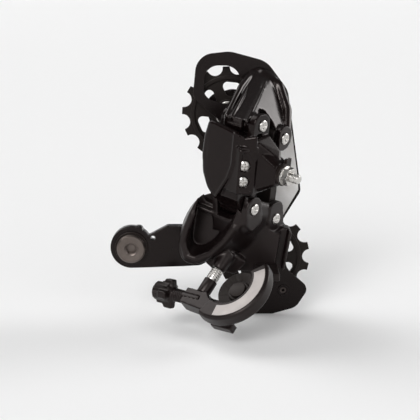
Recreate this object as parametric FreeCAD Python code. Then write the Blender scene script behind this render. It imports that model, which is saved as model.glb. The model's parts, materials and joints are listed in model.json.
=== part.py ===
import FreeCAD, Part
import math
import os

V = FreeCAD.Vector

# Rear derailleur, millimetres. The origin is on the mounting bolt's axis where the hanger's
# outer face seats. +Y points inboard (towards the wheel), +Z up as the part stands.

# Fits
RUN_FIT = 0.05          # radial clearance of a pin or shaft that turns
OPEN_FIT = 0.25         # radial clearance at the pivot where the linkage is left open
SIDE_GAP = 0.3          # clearance between faces of pieces that move past each other
PAST = 1.0              # how far a cut runs past the face that it opens
FAR = 60.0              # reach of a cut that goes right through

# Mounting bolt and hanger plate
BOLT_THREAD_R = 5.0
BOLT_THREAD_LENGTH = 11.0
BOLT_SHANK_R = 6.0
BOLT_HEAD_R = 8.3
BOLT_HEAD_HEIGHT = 3.2
BOLT_DOME = 1.0
BOLT_CHAMFER = 0.9
BOLT_DISH_R = 4.6       # shallow dish in the head's face
BOLT_DISH = 0.45
BOLT_COLLAR_R = 3.9     # raised ring round the socket
BOLT_SINK = 0.9
BOLT_SOCKET = 5.0       # across flats
BOLT_SOCKET_DEPTH = 3.4
COLLAR_R = 9.6
COLLAR_HEIGHT = 1.2
RING_R = 7.6
RING_THICK = 1.0
RING_MOUTH = 3.0
RING_GROOVE = 0.8       # depth of the bolt's groove for the ring
HANGER_THICK = 7.0
HANGER_RELIEF = 1.6     # recess behind the boss that holds the retaining ring
BOSS_R = 12.2
HANGER_OUTLINE = ((-2, BOSS_R, 6), (5.8, 12.2, 2), (8.9, 6.2, 2), (20.8, 12.6, 3), (52, 12.6, 4),
                  (54, -3, 6), (40, -10.6, 6), (30, -11.2, 8), (1.6, -BOSS_R, 4), (-2, -11.2, 1))
EYELET = (12.5, 5.6)
EYELET_R = 1.4
RIVET_PLACES = ((36.0, 3.5), (47.0, 5.5))
RIVET_R = 2.4
RIVET_HEAD_R = 3.8
RIVET_HEAD = 1.0
RIVET_GRIP = 4.0        # how far a rivet reaches into the bracket body

# Linkage: four parallel pins
PIN_DIRECTION = V(0.767, -0.621, -0.162)
LINK_RUN = V(3.77, -7.61, 46.93)          # lower outer pin to upper outer pin
LINK_OFFSET = V(13.16, 18.67, -9.29)      # outer pins to inner pins
LOWER_OUTER = V(69.9, -33.0, 28.0)        # front end of the lower outer pin
PIN_R = 2.5
PIN_HEAD_R = 3.2
PIN_HEAD = 0.9
PIN_TAPER = 0.4
PIN_TAIL = 0.7
PIN_DIMPLE_R = 1.5
PIN_DIMPLE = 0.6
PIN_RECESS_R = 4.2      # recess round a pin's front head
EAR_R = 7.0
EAR_THICK = 3.6
EAR_PAD = 0.4           # extra thickness of the outer link's front ear
OUTER_PIN_LENGTH = 24.4
INNER_PIN_LENGTH = 17.4
KNUCKLE_R = 6.0
HOOD_KNUCKLE_R = 5.6    # plate body's rounded end about the upper outer pin
LOWER_KNUCKLE = 4.6     # length of the inner link's lower knuckle, beside the return spring
LINK_SPRING_R = 4.2
LINK_WIRE_R = 0.45      # half width of the wire
LINK_SPRING_TURNS = 3

# Outer link, drawn in the link frame: x across from the lower outer pin, y along, z up the pin
LINK_FACE_X = -14.5     # outer face
LINK_FACE_THICK = 3.2
LINK_FACE_BEVEL = 0.9
# Its outline, as (z, y)
LEAF = ((-26.0, 47.9, 2), (-6.2, 44.9, 2), (-6.2, 27.0, 14), (-16.8, 4.4, 2.2), (-26.0, 12.0, 9))
BLOCK_LOW = 11.3
BLOCK_HIGH = 37.6
BLOCK_FRONT = 3.4
BLOCK_BACK = -24.0
BLOCK_RIGHT = 6.4
BLOCK_WALL = 3.0
SCREW_FACE = ((LINK_FACE_X, -3.2), (-7.2, BLOCK_FRONT))   # ends of the slanted face, (x, z)
BLOCK_SECTION = ((LINK_FACE_X + LINK_FACE_THICK, BLOCK_BACK, 1.5), (LINK_FACE_X + 0.6, -6.6),
                 SCREW_FACE[0] + (0.6,), SCREW_FACE[1] + (1.0,), (BLOCK_RIGHT, BLOCK_FRONT, 1.5),
                 (BLOCK_RIGHT, BLOCK_BACK, 1.5))
# Ears for the upper outer pin, drawn from that pin
UPPER_EAR = ((-8.4, -11.1), (-7.6, 6.4, 6.2), (6.6, 6.4, 6.2), (6.2, -11.1))
UPPER_EAR_SLOT = ((-4.6, -8.7, 1.2), (-4.6, -4.6, 1.2), (0.6, -4.6, 1.2), (0.6, -8.7, 1.2))
UPPER_EAR_SLOT_DEPTH = 1.6
BACK_EAR_R = 5.2
BACK_EAR = ((-8.4, -11.1), (-BACK_EAR_R, 0), (BACK_EAR_R, 0), (3.0, -11.1))
WEB_RIGHT = -8.0        # webs between the face and the upper ears
WEB_TOP = 42.0
WEB_DEPTH = 3.0
NECK = ((-11.7, 7.0), (-5.4, -1.8), (5.4, 1.5), (BLOCK_RIGHT, 13.3), (-11.7, 13.3))
LIMIT_SCREW_R = 2.0
LIMIT_HEAD_R = 2.9
LIMIT_SCREW_LENGTH = 10.5
LIMIT_SINK = 1.6        # depth of the seat for a limit screw's head
LIMIT_ASIDE = 1.4       # screws from the middle of the slanted face
LIMIT_CROSS = (0.4, 1.9, 0.6)             # half width, half length and depth of the cross recess
LIMIT_SCREW_Y = (18.4, 27.4)
CLAMP_X = 2.7
CLAMP_Y = 23.8
NOSE_FOOT = (6.2, 12.6, 3.0)              # half width, half height and corner radius
NOSE_R = 6.2
NOSE_CORNER = 4.0
NOSE_END = 13.5
CLAMP_BOLT_R = 2.5
CLAMP_BOLT_END = 25.0
CLAMP_BOLT_CHAMFER = 0.6
CLAMP_SEAT = -1.6       # where the clamp bolt's head sits
CLAMP_HEAD = 2.4
CLAMP_HEAD_AF = 7.0
CLAMP_PLATE_R = 6.0
CLAMP_PLATE_THICK = 1.8
CLAMP_TAB = ((1.0, 5.0), (3.0, 8.4))      # from the bolt's axis
CABLE_GROOVE_R = 0.7
CABLE_GROOVE_X = 3.6
CLAMP_NUT_AF = 9.0
CLAMP_NUT_HEIGHT = 4.4
CLAMP_FLANGE_R = 5.4
CLAMP_FLANGE = 1.0

# Inner link
BAR_X = (-2.5, 3.5)     # from the inner pins
BAR_ROOM_X = 0.5
BAR_WALL = 2.0

# Cage
CAGE_PIVOT = V(75.5, 0, 85.4)
GUIDE_CENTRE = V(56.5, 0, 76.0)
TENSION_CENTRE = V(78.1, 0, -9.8)
CAGE_OUTER_Y = 5.0      # outboard face of the outer cage plate
CAGE_PLATE = 1.8
CAGE_GAP = 9.0          # between the two plates
CAGE_OUTLINE = ((57, 112, 16), (78, 106.4, 14), (90.3, 90, 12), (97.9, 38, 6), (98.7, 31, 5), (87.3, 12, 10),
                (91.3, -16, 8), (104.8, -28, 5), (97.3, -40, 8), (83.3, -44, 4), (67.3, -44, 6),
                (63.3, -12, 10), (71.3, 28, 14), (63.3, 62, 12), (51.8, 72, 10), (45.3, 77, 2),
                (35.7, 86.5, 6), (38, 110, 11))
CAGE_LOOP = ((42.6, 104, 8), (60, 104, 9), (66, 90, 8), (55, 81.5, 6), (42, 86, 6))
INNER_PLATE_END = 13.0  # reach past a pulley's centre, and half width there
INNER_PLATE_CORNER = 9.0
INNER_PLATE_WAIST = 9.0
INNER_PLATE_CURVE = 30.0
PULLEY_TEETH = 13
CHAIN_PITCH = 12.7
PULLEY_WIDTH = 4.4
PULLEY_TOOTH_WIDTH = 2.2
PULLEY_ROOT_R = 22.9
PULLEY_ADDENDUM = 0.7    # tooth tips beyond the pitch circle
PULLEY_TIP = 4.2         # width of a tooth's flat top
PULLEY_SPOKES = 6
PULLEY_WINDOW = ((10.2, -2.2, 1.6), (18.2, -7.0, 2.6), (18.2, 7.0, 2.6), (10.2, 2.2, 1.6))
PULLEY_WINDOW_TURN = 14.0
PULLEY_RIM = 2.2         # width of the raised ring under the teeth
PULLEY_RIM_DROP = 1.0    # of that ring below the tooth gaps
GUIDE_PHASE = 10.2      # turn of the teeth, degrees
TENSION_PHASE = 14.0
PULLEY_HUB_R = 8.2
BUSH_R = 4.4
PULLEY_BOLT_R = 2.5
PULLEY_BOLT_HEAD_R = 4.8
PULLEY_BOLT_HEAD = 2.0
PULLEY_BOLT_SOCKET = 4.0                  # across flats
PULLEY_BOLT_SOCKET_DEPTH = 1.4
CAP_R = 7.6
CAP_THICK = 1.1
AXLE_R = 4.0
AXLE_LENGTH = 17.0
STOP_PIN_R = 1.8
STOP_PIN_HEIGHT = 3.0
STOP_PIN_REACH = 29.0
STOP_TAB = 8.0          # how far the plate body's stop tongue reaches in from the pin
STOP_PIN_TURN = -66.0   # degrees about the cage pivot, at rest

# Plate body
HOOD_OUTLINE = ((50.4, 73.4, 3), (69.0, 104.2, 10), (81.8, 102.8, 11), (90.4, 87, 16), (93.8, 66, 5),
                (84, 62, 4), (66, 66, 4))
# Root of the visor on the flange, and its mouth in the plane of the upper pins: (along, pin height)
VISOR_ROOT = ((52.6, 74.4, 2), (69.6, 101.6, 4), (80.6, 101.2, 4), (89.8, 88.5, 6), (92.0, 67.6, 3),
              (84.0, 64.4, 3), (66.0, 68.2, 3))
VISOR_CHIN_X = 8.4      # lower left edge, from the upper outer pin
VISOR_CHIN_Y = 3.0
VISOR_CHIN = 6.6        # height of the flat chin below that edge
VISOR_BAND = 1.6        # width of the band along the left side, at the mouth
VISOR_CHEEK = 4.0       # bevel at the right end
VISOR_DROP = 4.0        # how far the mouth reaches below the upper inner pin
VISOR_LIP = 1.0         # how far the front stands proud of the upper inner pin's ear
VISOR_TUCK = 0.3        # how far the visor stays inside the pieces that it runs into
VISOR_CLEAR_R = 9.2     # room inside the outer link about the upper outer pin
ARCH = ((6.2, -20), (17.2, -20), (17.2, -2, 3), (13.5, 4.5, 4), (6.2, 6, 3))     # from the upper outer pin
ARCH_FLOOR = -14.0
# Degrees that the links sweep about the upper pins
OUTER_SWEEP = (132, 305)
INNER_SWEEP = (205, 312)
EAR_ROOM = 1.6          # room round an ear that swings
KNUCKLE_ROOM = 0.9
HEAD_ROOM = 0.5
HOUSING_FLANGE = 2.4
SPRING_ROOM_R = 7.6
SPRING_ROOM_DEPTH = 8.6
SPRING_COIL_R = 6.5
SPRING_WIRE_R = 0.8     # half width of the wire
SPRING_TURNS = 3

# Bracket body
# The scoop's rim leans outboard towards the linkage: (x, z) points, height from rim_height
SCOOP_RIM = ((28.2, 7), (30.4, -2.8), (37.4, -4.7), (46.4, 0), (55.2, 8.7), (62.4, 20), (66.2, 32),
             (59.6, 40), (50, 41.6), (41, 36.6), (32.6, 21.3))
SCOOP_FOOT = ((28.6, 8), (30.6, -3), (38.6, -6.4), (52, -7.5), (68, -6), (82, 8), (88, 22),
              (76, 30), (57, 32.5), (42, 31), (33, 22))
SCOOP_BOWL = ((32.4, 7.8), (34.4, 1.4), (39.2, 0.6), (46, 4), (52.6, 11.4), (58, 21), (61.4, 33),
              (61, 54), (50, 59), (42, 46), (36.4, 22.6))
SCOOP_FLOOR = ((35.6, 9), (36.8, 4.6), (40.6, 3.6), (46.4, 6.2), (51.8, 12.8), (55.8, 22), (58.6, 33),
               (58, 52), (51, 56), (44.2, 45), (37.6, 23))
SCOOP_WELL = ((42, 30, 3), (57, 24, 3), (60, 34, 3), (58, 52, 4), (50, 55, 4), (44.6, 45, 4))
SCOOP_WELL_DEPTH = 7.0  # below the floor, at the scoop's upper end
SCOOP_DEPTH = 13.0
RIM_HEIGHT = 23.0       # of the rim at its left end
RIM_LEAN = 0.37         # rise of the rim per millimetre to the right
BOX_OUTLINE = ((52, 10, 2), (70, 17, 2), (76.3, 15.5, 1), (92.3, 12.2, 2), (87.9, -11, 2), (58, -11, 3),
               (48, -2, 2))
BOX_CHANNEL = ((86.6, 18), (91.2, 18), (86.4, -12), (82, -12))
BOX_CHANNEL_DEPTH = 6.0
# Roots of the lower ears, drawn from their pins
EAR_ROOT = ((-7.0, 0), (-6.6, -9.0, 4), (0.5, -15.5, 5), (9.5, -11.5, 3), (7.0, 0))
BACK_EAR_POST = ((-7.0, 0), (-4.0, -18.0), (8.0, -18.0), (7.0, 0))
INNER_EAR_POST = ((-7.0, 0), (-9.0, -12.0), (6.0, -12.0), (7.0, 0))
LOWER_OUTER_SWEEP = (-14, 180)            # degrees that the links sweep about these pins
LOWER_INNER_SWEEP = (10, 115)
EAR_WING = ((-6.4, -8, 1), (-6.4, 9.4, 3), (5.4, 11.2, 6), (9.2, -7.4, 2))
KEEL_OUTLINE = ((43, -4, 1), (47, -8, 2), (60, -11, 2), (66, -4, 1), (54, 6, 1))
KEEL_FRONT_Y = -25.0
BOX_FRONT_Y = -18.0
BOX_BACK_Y = -2.0
SCREW_TOP = V(50.0, -30.0, -7.0)          # where the housing screw enters the bracket body
SCREW_FOOT = V(41.7, -37.0, -18.5)        # where its sleeve stands on the cable arm
SCREW_R = 2.0
SCREW_COLLAR_R = 3.2
SCREW_GRIP = 7.0
SCREW_BOSS_R = 4.3
SCREW_BOSS_LENGTH = 12.0
SLEEVE_R = 3.8
SLEEVE_LENGTH = 8.6

# Cable direction pulley
SHROUD_CENTRE = V(57.6, -42.0, -13.3)
WHEEL_OFFSET = V(7.0, -2.5, 0)    # wheel from the shroud's centre, in the shroud's plane
WHEEL_AXIS = V(-0.42, -0.516, 0.743)
CABLE_RUN = V(0.774, -0.632, -0.002)       # way the cable comes in from the barrel
WHEEL_R = 12.0
WHEEL_WIDTH = 5.0
WHEEL_GROOVE = 1.6
WHEEL_BORE_R = 3.0
WHEEL_LAND = 1.4        # groove's half width
WHEEL_HUB_R = 6.0
WHEEL_DISH = 1.6
AXLE_HEAD_R = 4.8
AXLE_HEAD = 1.2
SHROUD_R = 23.6
SHROUD_INNER_R = 13.4   # inner edge of the shroud's face
SHROUD_FLOOR = 2.6
SHROUD_RIM = 2.4        # height of the shroud's face over the wheel
SHROUD_HEEL = 3.0       # bevel along the shroud's back edge
SHROUD_EDGE = 1.2       # and along its face
SHROUD_ROOM = 1.0       # round the wheel
SHROUD_FROM = -112.0    # degrees about the wheel, from the way the cable comes in
SHROUD_TO = 46.0
ARM_REACH = 25.0        # wheel centre to the end of the barrel's arm
ARM_ROOT = 4.0          # how far the arm runs past the shroud's centre line
ARM_HALF = 4.8
BARREL_THREAD_R = 3.4
BARREL_BORE_R = 1.3
BARREL_HEAD_R = 6.4
BARREL_HEAD_LENGTH = 14.0
BARREL_LOBES = 5
BARREL_LOBE = 3.4       # width of a lobe
BARREL_SKIRT = 1.2      # head's body below the lobes
BARREL_EDGE = 1.0
BARREL_SHOULDER = 1.5
BARREL_GRIP = 11.0      # thread inside the arm
BARREL_NECK = 8.0       # bare thread between the barrel's head and the arm
FERRULE_R = 2.6
FERRULE_DEPTH = 8.0
FOOT_X = (-4.0, 10.0)
FOOT_INSET = 0.6
FOOT_DEPTH = 5.0
FOOT_DROP = 3.6
# Tab from the shroud back to the box
TAB_X = (SHROUD_CENTRE.x + 13.4, SHROUD_CENTRE.x + 26.4)
TAB_Y = (SHROUD_CENTRE.y + 2.0, BOX_FRONT_Y)
TAB_Z = (SHROUD_CENTRE.z + 2.5, SHROUD_CENTRE.z + 6.9)

PIN_Z = V(PIN_DIRECTION).normalize()
LINK_Y = (LINK_RUN - PIN_Z * LINK_RUN.dot(PIN_Z)).normalize()
LINK_X = LINK_Y.cross(PIN_Z)
LINK_LENGTH = LINK_RUN.dot(LINK_Y)
INNER_X = LINK_OFFSET.dot(LINK_X)
INNER_Y = LINK_OFFSET.dot(LINK_Y)


def frame(origin, x, y, z):
    """Placement whose local axes are the three given directions."""
    return FreeCAD.Placement(origin, FreeCAD.Rotation(x, y, z, "ZYX"))


LINK_FRAME = frame(LOWER_OUTER, LINK_X, LINK_Y, PIN_Z)
# Drawings seen from outboard: local x is X, local y is Z, local z points outboard
SIDE_FRAME = frame(V(0, 0, 0), V(1, 0, 0), V(0, 0, 1), V(0, -1, 0))


def placed(shape, place):
    moved = shape.copy()
    moved.Placement = place.multiply(shape.Placement)
    return moved


def corner(before, point, after, radius):
    """Tangent points and middle of the arc that rounds one corner."""
    to_before = (before - point).normalize()
    to_after = (after - point).normalize()
    half = to_before.getAngle(to_after) / 2
    reach = radius / math.tan(half)
    inward = (to_before + to_after).normalize()
    middle = point + inward * (radius / math.sin(half) - radius)
    return point + to_before * reach, middle, point + to_after * reach


def outline(points):
    """Closed wire through (x, y, corner radius) points, with tangent arcs at the corners."""
    spots = [V(p[0], p[1], 0) for p in points]
    ends = []
    for i, point in enumerate(points):
        before, after = spots[i - 1], spots[(i + 1) % len(spots)]
        radius = point[2] if len(point) > 2 else 0
        if radius:
            ends.append(corner(before, spots[i], after, radius))
        else:
            ends.append((spots[i], None, spots[i]))
    edges = []
    for i, (start, middle, end) in enumerate(ends):
        if middle is not None:
            edges.append(Part.Arc(start, middle, end).toShape())
        following = ends[(i + 1) % len(ends)][0]
        if end.distanceToPoint(following) > 1e-6:
            edges.append(Part.LineSegment(end, following).toShape())
    return Part.Wire(edges)


def slab(points, low, high):
    """Extrusion of a rounded outline between two local heights."""
    face = Part.Face(outline(points))
    face.translate(V(0, 0, low))
    return face.extrude(V(0, 0, high - low))


def about(points, x, y):
    """The same outline, drawn from another point."""
    return [(point[0] + x, point[1] + y) + tuple(point[2:]) for point in points]


def disc(radius, low, high, x=0.0, y=0.0):
    return Part.makeCylinder(radius, high - low, V(x, y, low))


def block(x, y, z):
    """Box between three (low, high) pairs."""
    return Part.makeBox(x[1] - x[0], y[1] - y[0], z[1] - z[0], V(x[0], y[0], z[0]))


def hexagon(flats, low, high, x=0.0, y=0.0):
    radius = flats / math.sqrt(3)
    points = []
    for i in range(6):
        turn = math.radians(60 * i)
        points.append((x + radius * math.cos(turn), y + radius * math.sin(turn)))
    return slab(points, low, high)


def turned(profile):
    """Solid of revolution about local z, from (radius, height) points."""
    wire = Part.makePolygon([V(r, 0, h) for r, h in profile] + [V(profile[0][0], 0, profile[0][1])])
    return Part.Face(wire).revolve(V(0, 0, 0), V(0, 0, 1), 360)


def fused(first, *others):
    return first.multiFuse(list(others)).removeSplitter()


def outboard(shape, at=V(0, 0, 0)):
    """Moves a piece drawn about local z so that z points outboard at the given place."""
    return placed(placed(shape, SIDE_FRAME), FreeCAD.Placement(at, FreeCAD.Rotation()))


def coil(radius, wire, turns, pitch):
    """Torsion spring of square wire, of this half width, about local z."""
    helix = Part.makeHelix(pitch, turns * pitch, radius)
    corners = [(-wire, -wire), (wire, -wire), (wire, wire), (-wire, wire), (-wire, -wire)]
    section = Part.makePolygon([V(radius + x, 0, z) for x, z in corners])
    return Part.Wire(helix.Edges).makePipeShell([section], True, True)


def panel(place, corners):
    """Rounded outline in space, as a wire."""
    return placed(outline(corners), place)


def rectangle(half_across, half_up, radius):
    return [(-half_across, -half_up, radius), (half_across, -half_up, radius),
            (half_across, half_up, radius), (-half_across, half_up, radius)]


def smooth(points, height):
    """One closed smooth curve through a few (x, y) points, as a wire; height gives each point's z."""
    curve = Part.BSplineCurve()
    spots = [V(x, y, height(x)) for x, y in points]
    # one step of the parameter a point, so that two such curves loft from point to point
    curve.interpolate(Points=spots, PeriodicFlag=True, Parameters=list(range(len(spots) + 1)))
    return Part.Wire(curve.toShape())


def ruled(first, second):
    """Solid whose wall is straight from one closed smooth curve to another."""
    wall = Part.makeRuledSurface(first.Edges[0], second.Edges[0])
    solid = Part.Solid(Part.Shell([wall, Part.Face(first), Part.Face(second)]))
    if solid.Volume < 0:
        solid.reverse()
    return solid


def mounting_bolt():
    head_base = HANGER_THICK + COLLAR_HEIGHT
    head_top = head_base + BOLT_HEAD_HEIGHT
    groove_r = BOLT_SHANK_R - RING_GROOVE
    profile = [
        (0, -BOLT_THREAD_LENGTH), (BOLT_THREAD_R - BOLT_CHAMFER, -BOLT_THREAD_LENGTH),
        (BOLT_THREAD_R, BOLT_CHAMFER - BOLT_THREAD_LENGTH), (BOLT_THREAD_R, 0),
        (groove_r, 0), (groove_r, RING_THICK + SIDE_GAP), (BOLT_SHANK_R, RING_THICK + SIDE_GAP),
        (BOLT_SHANK_R, head_base), (BOLT_HEAD_R, head_base), (BOLT_HEAD_R, head_top - BOLT_DOME),
        (BOLT_HEAD_R - BOLT_CHAMFER, head_top), (BOLT_DISH_R, head_top - BOLT_DISH),
        (BOLT_COLLAR_R, head_top - BOLT_DISH), (BOLT_COLLAR_R, head_top), (0, head_top)]
    bolt = turned(profile)
    socket = hexagon(BOLT_SOCKET, head_top - BOLT_SOCKET_DEPTH, head_top + PAST)
    sink = Part.makeCone(BOLT_SOCKET / 2, BOLT_COLLAR_R, BOLT_SINK, V(0, 0, head_top - BOLT_SINK))
    return outboard(bolt.cut(fused(socket, sink)))


def retaining_ring():
    inner = BOLT_SHANK_R - RING_GROOVE + RUN_FIT
    low = SIDE_GAP / 3
    ring = disc(RING_R, low, low + RING_THICK).cut(disc(inner, 0, RING_THICK + PAST))
    mouth = block((-RING_MOUTH / 2, RING_MOUTH / 2), (0, RING_R + PAST), (0, RING_THICK + PAST))
    return outboard(ring.cut(mouth))


def bolt_collar():
    ring = disc(COLLAR_R, HANGER_THICK, HANGER_THICK + COLLAR_HEIGHT)
    return outboard(ring.cut(disc(BOLT_SHANK_R + RUN_FIT, -FAR, FAR)))


def hanger_plate():
    plate = fused(slab(HANGER_OUTLINE, 0, HANGER_THICK), disc(BOSS_R, 0, HANGER_THICK))
    cuts = [disc(BOLT_SHANK_R + RUN_FIT, -FAR, FAR),
            disc(RING_R + SIDE_GAP, -PAST, HANGER_RELIEF),
            disc(EYELET_R, -FAR, FAR, *EYELET)]
    for x, z in RIVET_PLACES:
        cuts.append(disc(RIVET_R, -FAR, FAR, x, z))
    return outboard(plate.cut(Part.makeCompound(cuts)))


def hanger_rivets():
    rivets = []
    for x, z in RIVET_PLACES:
        shank = disc(RIVET_R, 0, HANGER_THICK + RIVET_GRIP, x, z)
        head = disc(RIVET_HEAD_R, -RIVET_HEAD, 0, x, z)
        rivets.append(fused(shank, head))
    return outboard(Part.makeCompound(rivets))


def pin(x, y, length):
    """Riveted pivot pin, drawn in the link frame with its front head proud of the ears."""
    body = disc(PIN_R, -length, 0, x, y)
    head = Part.makeCone(PIN_HEAD_R, PIN_HEAD_R - PIN_TAPER, PIN_HEAD, V(x, y, 0))
    tail = disc(PIN_HEAD_R, -length - PIN_TAIL, -length, x, y)
    dimple = Part.makeCone(PIN_DIMPLE_R / 2, PIN_DIMPLE_R, PIN_DIMPLE, V(x, y, PIN_HEAD - PIN_DIMPLE))
    return placed(fused(body, head, tail).cut(dimple), LINK_FRAME)


def pin_holes(x, y, clearance=RUN_FIT):
    return disc(PIN_R + clearance, -FAR, FAR, x, y)


def outer_link():
    face_in = LINK_FACE_X + LINK_FACE_THICK
    ear_back = -OUTER_PIN_LENGTH + EAR_THICK
    # Leaf-shaped outer face, stood up along -x
    leaf = slab(LEAF, 0, LINK_FACE_THICK)
    rim = [edge for edge in leaf.Edges if abs(edge.CenterOfMass.z - LINK_FACE_THICK) < RUN_FIT]
    leaf = placed(leaf.makeChamfer(LINK_FACE_BEVEL, rim),
                  frame(V(face_in, 0, 0), V(0, 0, 1), V(0, 1, 0), V(-1, 0, 0)))
    along = frame(V(0, 0, 0), V(1, 0, 0), V(0, 0, 1), V(0, -1, 0))
    core = placed(slab(BLOCK_SECTION, -BLOCK_HIGH, -BLOCK_LOW), along)
    room = block((face_in + BLOCK_WALL, FAR), (BLOCK_LOW + BLOCK_WALL, BLOCK_HIGH - BLOCK_WALL),
                 (BLOCK_BACK + BLOCK_WALL, -BLOCK_WALL))
    # Ears for the upper pin, reaching down to the block, and the knuckle for the lower pin
    front_ear = slab(about(UPPER_EAR, 0, LINK_LENGTH), -EAR_THICK - EAR_PAD, 0)
    slot = slab(about(UPPER_EAR_SLOT, 0, LINK_LENGTH), -UPPER_EAR_SLOT_DEPTH, PAST)
    back_ear = fused(disc(BACK_EAR_R, -OUTER_PIN_LENGTH, ear_back, 0, LINK_LENGTH),
                     slab(about(BACK_EAR, 0, LINK_LENGTH), -OUTER_PIN_LENGTH, ear_back))
    webs = []
    for low, high in ((-OUTER_PIN_LENGTH, ear_back), (-EAR_THICK - WEB_DEPTH, -EAR_THICK)):
        webs.append(block((face_in - SIDE_GAP, WEB_RIGHT), (BLOCK_HIGH - WEB_DEPTH, WEB_TOP), (low, high)))
    low, high = -OUTER_PIN_LENGTH + EAR_THICK + SIDE_GAP, -EAR_THICK - SIDE_GAP
    knuckle = fused(disc(KNUCKLE_R, low, high), slab(NECK, low, high))
    foot = FreeCAD.Placement(V(0, (BLOCK_LOW + BLOCK_HIGH) / 2, BLOCK_FRONT - PAST), FreeCAD.Rotation())
    tip = FreeCAD.Placement(V(CLAMP_X, CLAMP_Y, NOSE_END), FreeCAD.Rotation())
    nose = Part.makeLoft([panel(foot, rectangle(*NOSE_FOOT)),
                          panel(tip, rectangle(NOSE_R, NOSE_R, NOSE_CORNER))], True, True)
    body = fused(core.cut(room), leaf, front_ear.cut(slot), back_ear, knuckle, nose, *webs)
    cuts = [pin_holes(0, 0), pin_holes(0, LINK_LENGTH),
            disc(CLAMP_BOLT_R, CLAMP_SEAT, FAR, CLAMP_X, CLAMP_Y),
            hexagon(CLAMP_HEAD_AF, BLOCK_BACK, CLAMP_SEAT, CLAMP_X, CLAMP_Y)]
    for y in LIMIT_SCREW_Y:
        cuts.append(limit_screw_room(y))
    return placed(body.cut(Part.makeCompound(cuts)), LINK_FRAME)


def limit_frame(y):
    """Where a limit screw enters the slanted face of the screw block; local z points out of it."""
    start, end = [V(x, y, z) for x, z in SCREW_FACE]
    across = (end - start).normalize()
    outward = V(-across.z, 0, across.x)
    return frame((start + end) * 0.5 - across * LIMIT_ASIDE, across, V(0, 1, 0), outward)


def limit_screw_room(y):
    room = fused(disc(LIMIT_SCREW_R + RUN_FIT, -LIMIT_SCREW_LENGTH - LIMIT_SINK - PAST, 0),
                 disc(LIMIT_HEAD_R + SIDE_GAP, -LIMIT_SINK, BLOCK_WALL))
    return placed(room, limit_frame(y))


def limit_screw(y):
    shank = disc(LIMIT_SCREW_R, -LIMIT_SCREW_LENGTH - LIMIT_SINK + SIDE_GAP, 0)
    head = turned([(0, RUN_FIT - LIMIT_SINK), (LIMIT_HEAD_R, RUN_FIT - LIMIT_SINK), (LIMIT_HEAD_R, -0.2),
                   (LIMIT_HEAD_R - 1.2, 0.6), (0, 0.8)])
    width, length, depth = LIMIT_CROSS
    cross = fused(block((-width, width), (-length, length), (-depth, FAR)),
                  block((-length, length), (-width, width), (-depth, FAR)))
    return placed(placed(fused(shank, head).cut(cross), limit_frame(y)), LINK_FRAME)


def clamp_bolt():
    neck = CLAMP_BOLT_END - CLAMP_BOLT_CHAMFER
    head = hexagon(CLAMP_HEAD_AF, CLAMP_SEAT - CLAMP_HEAD, CLAMP_SEAT, CLAMP_X, CLAMP_Y)
    shank = disc(CLAMP_BOLT_R, CLAMP_SEAT - CLAMP_HEAD / 2, neck, CLAMP_X, CLAMP_Y)
    tip = Part.makeCone(CLAMP_BOLT_R, CLAMP_BOLT_R - CLAMP_BOLT_CHAMFER, CLAMP_BOLT_CHAMFER,
                        V(CLAMP_X, CLAMP_Y, neck))
    return placed(fused(head, shank, tip), LINK_FRAME)


def clamp_hole():
    return disc(CLAMP_BOLT_R, 0, FAR, CLAMP_X, CLAMP_Y)


def clamp_plate():
    low, high = NOSE_END, NOSE_END + CLAMP_PLATE_THICK
    plate = disc(CLAMP_PLATE_R, low, high, CLAMP_X, CLAMP_Y)
    tab_x, tab_y = CLAMP_TAB
    tab = block(tab_x, tab_y, (low, high))
    tab.translate(V(CLAMP_X, CLAMP_Y, 0))
    groove = Part.makeCylinder(CABLE_GROOVE_R, FAR, V(CLAMP_X + CABLE_GROOVE_X, 0, low), V(0, 1, 0))
    return placed(fused(plate, tab).cut(Part.makeCompound([groove, clamp_hole()])), LINK_FRAME)


def clamp_nut():
    low = NOSE_END + CLAMP_PLATE_THICK
    flange = disc(CLAMP_FLANGE_R, low, low + CLAMP_FLANGE, CLAMP_X, CLAMP_Y)
    nut = hexagon(CLAMP_NUT_AF, low, low + CLAMP_NUT_HEIGHT, CLAMP_X, CLAMP_Y)
    return placed(fused(flange, nut).cut(clamp_hole()), LINK_FRAME)


def inner_link():
    low, high = -INNER_PIN_LENGTH + EAR_THICK + SIDE_GAP, -EAR_THICK - SIDE_GAP
    top = INNER_Y + LINK_LENGTH
    step = INNER_Y + KNUCKLE_R + BAR_WALL
    bar_x = (INNER_X + BAR_X[0], INNER_X + BAR_X[1])
    upper = disc(KNUCKLE_R, low, high, INNER_X, top)
    lower = disc(KNUCKLE_R, high - LOWER_KNUCKLE, high, INNER_X, INNER_Y)
    bar = block(bar_x, (step - BAR_WALL + 2 * SIDE_GAP, top), (low, high))
    foot = block(bar_x, (INNER_Y, step), (high - LOWER_KNUCKLE, high))
    room = block((INNER_X + BAR_ROOM_X, INNER_X + FAR), (step + BAR_WALL, top - KNUCKLE_R - BAR_WALL),
                 (low + BAR_WALL, high - BAR_WALL))
    link = fused(bar.cut(room), foot, upper, lower)
    cuts = [pin_holes(INNER_X, INNER_Y), pin_holes(INNER_X, top, OPEN_FIT)]
    return placed(link.cut(Part.makeCompound(cuts)), LINK_FRAME)


def link_spring():
    room = INNER_PIN_LENGTH - 2 * EAR_THICK - SIDE_GAP - LOWER_KNUCKLE
    pitch = (room - 2 * LINK_WIRE_R - 2 * SIDE_GAP) / LINK_SPRING_TURNS
    spring = coil(LINK_SPRING_R, LINK_WIRE_R, LINK_SPRING_TURNS, pitch)
    spring.translate(V(INNER_X, INNER_Y, -INNER_PIN_LENGTH + EAR_THICK + LINK_WIRE_R + SIDE_GAP))
    return placed(spring, LINK_FRAME)


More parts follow.
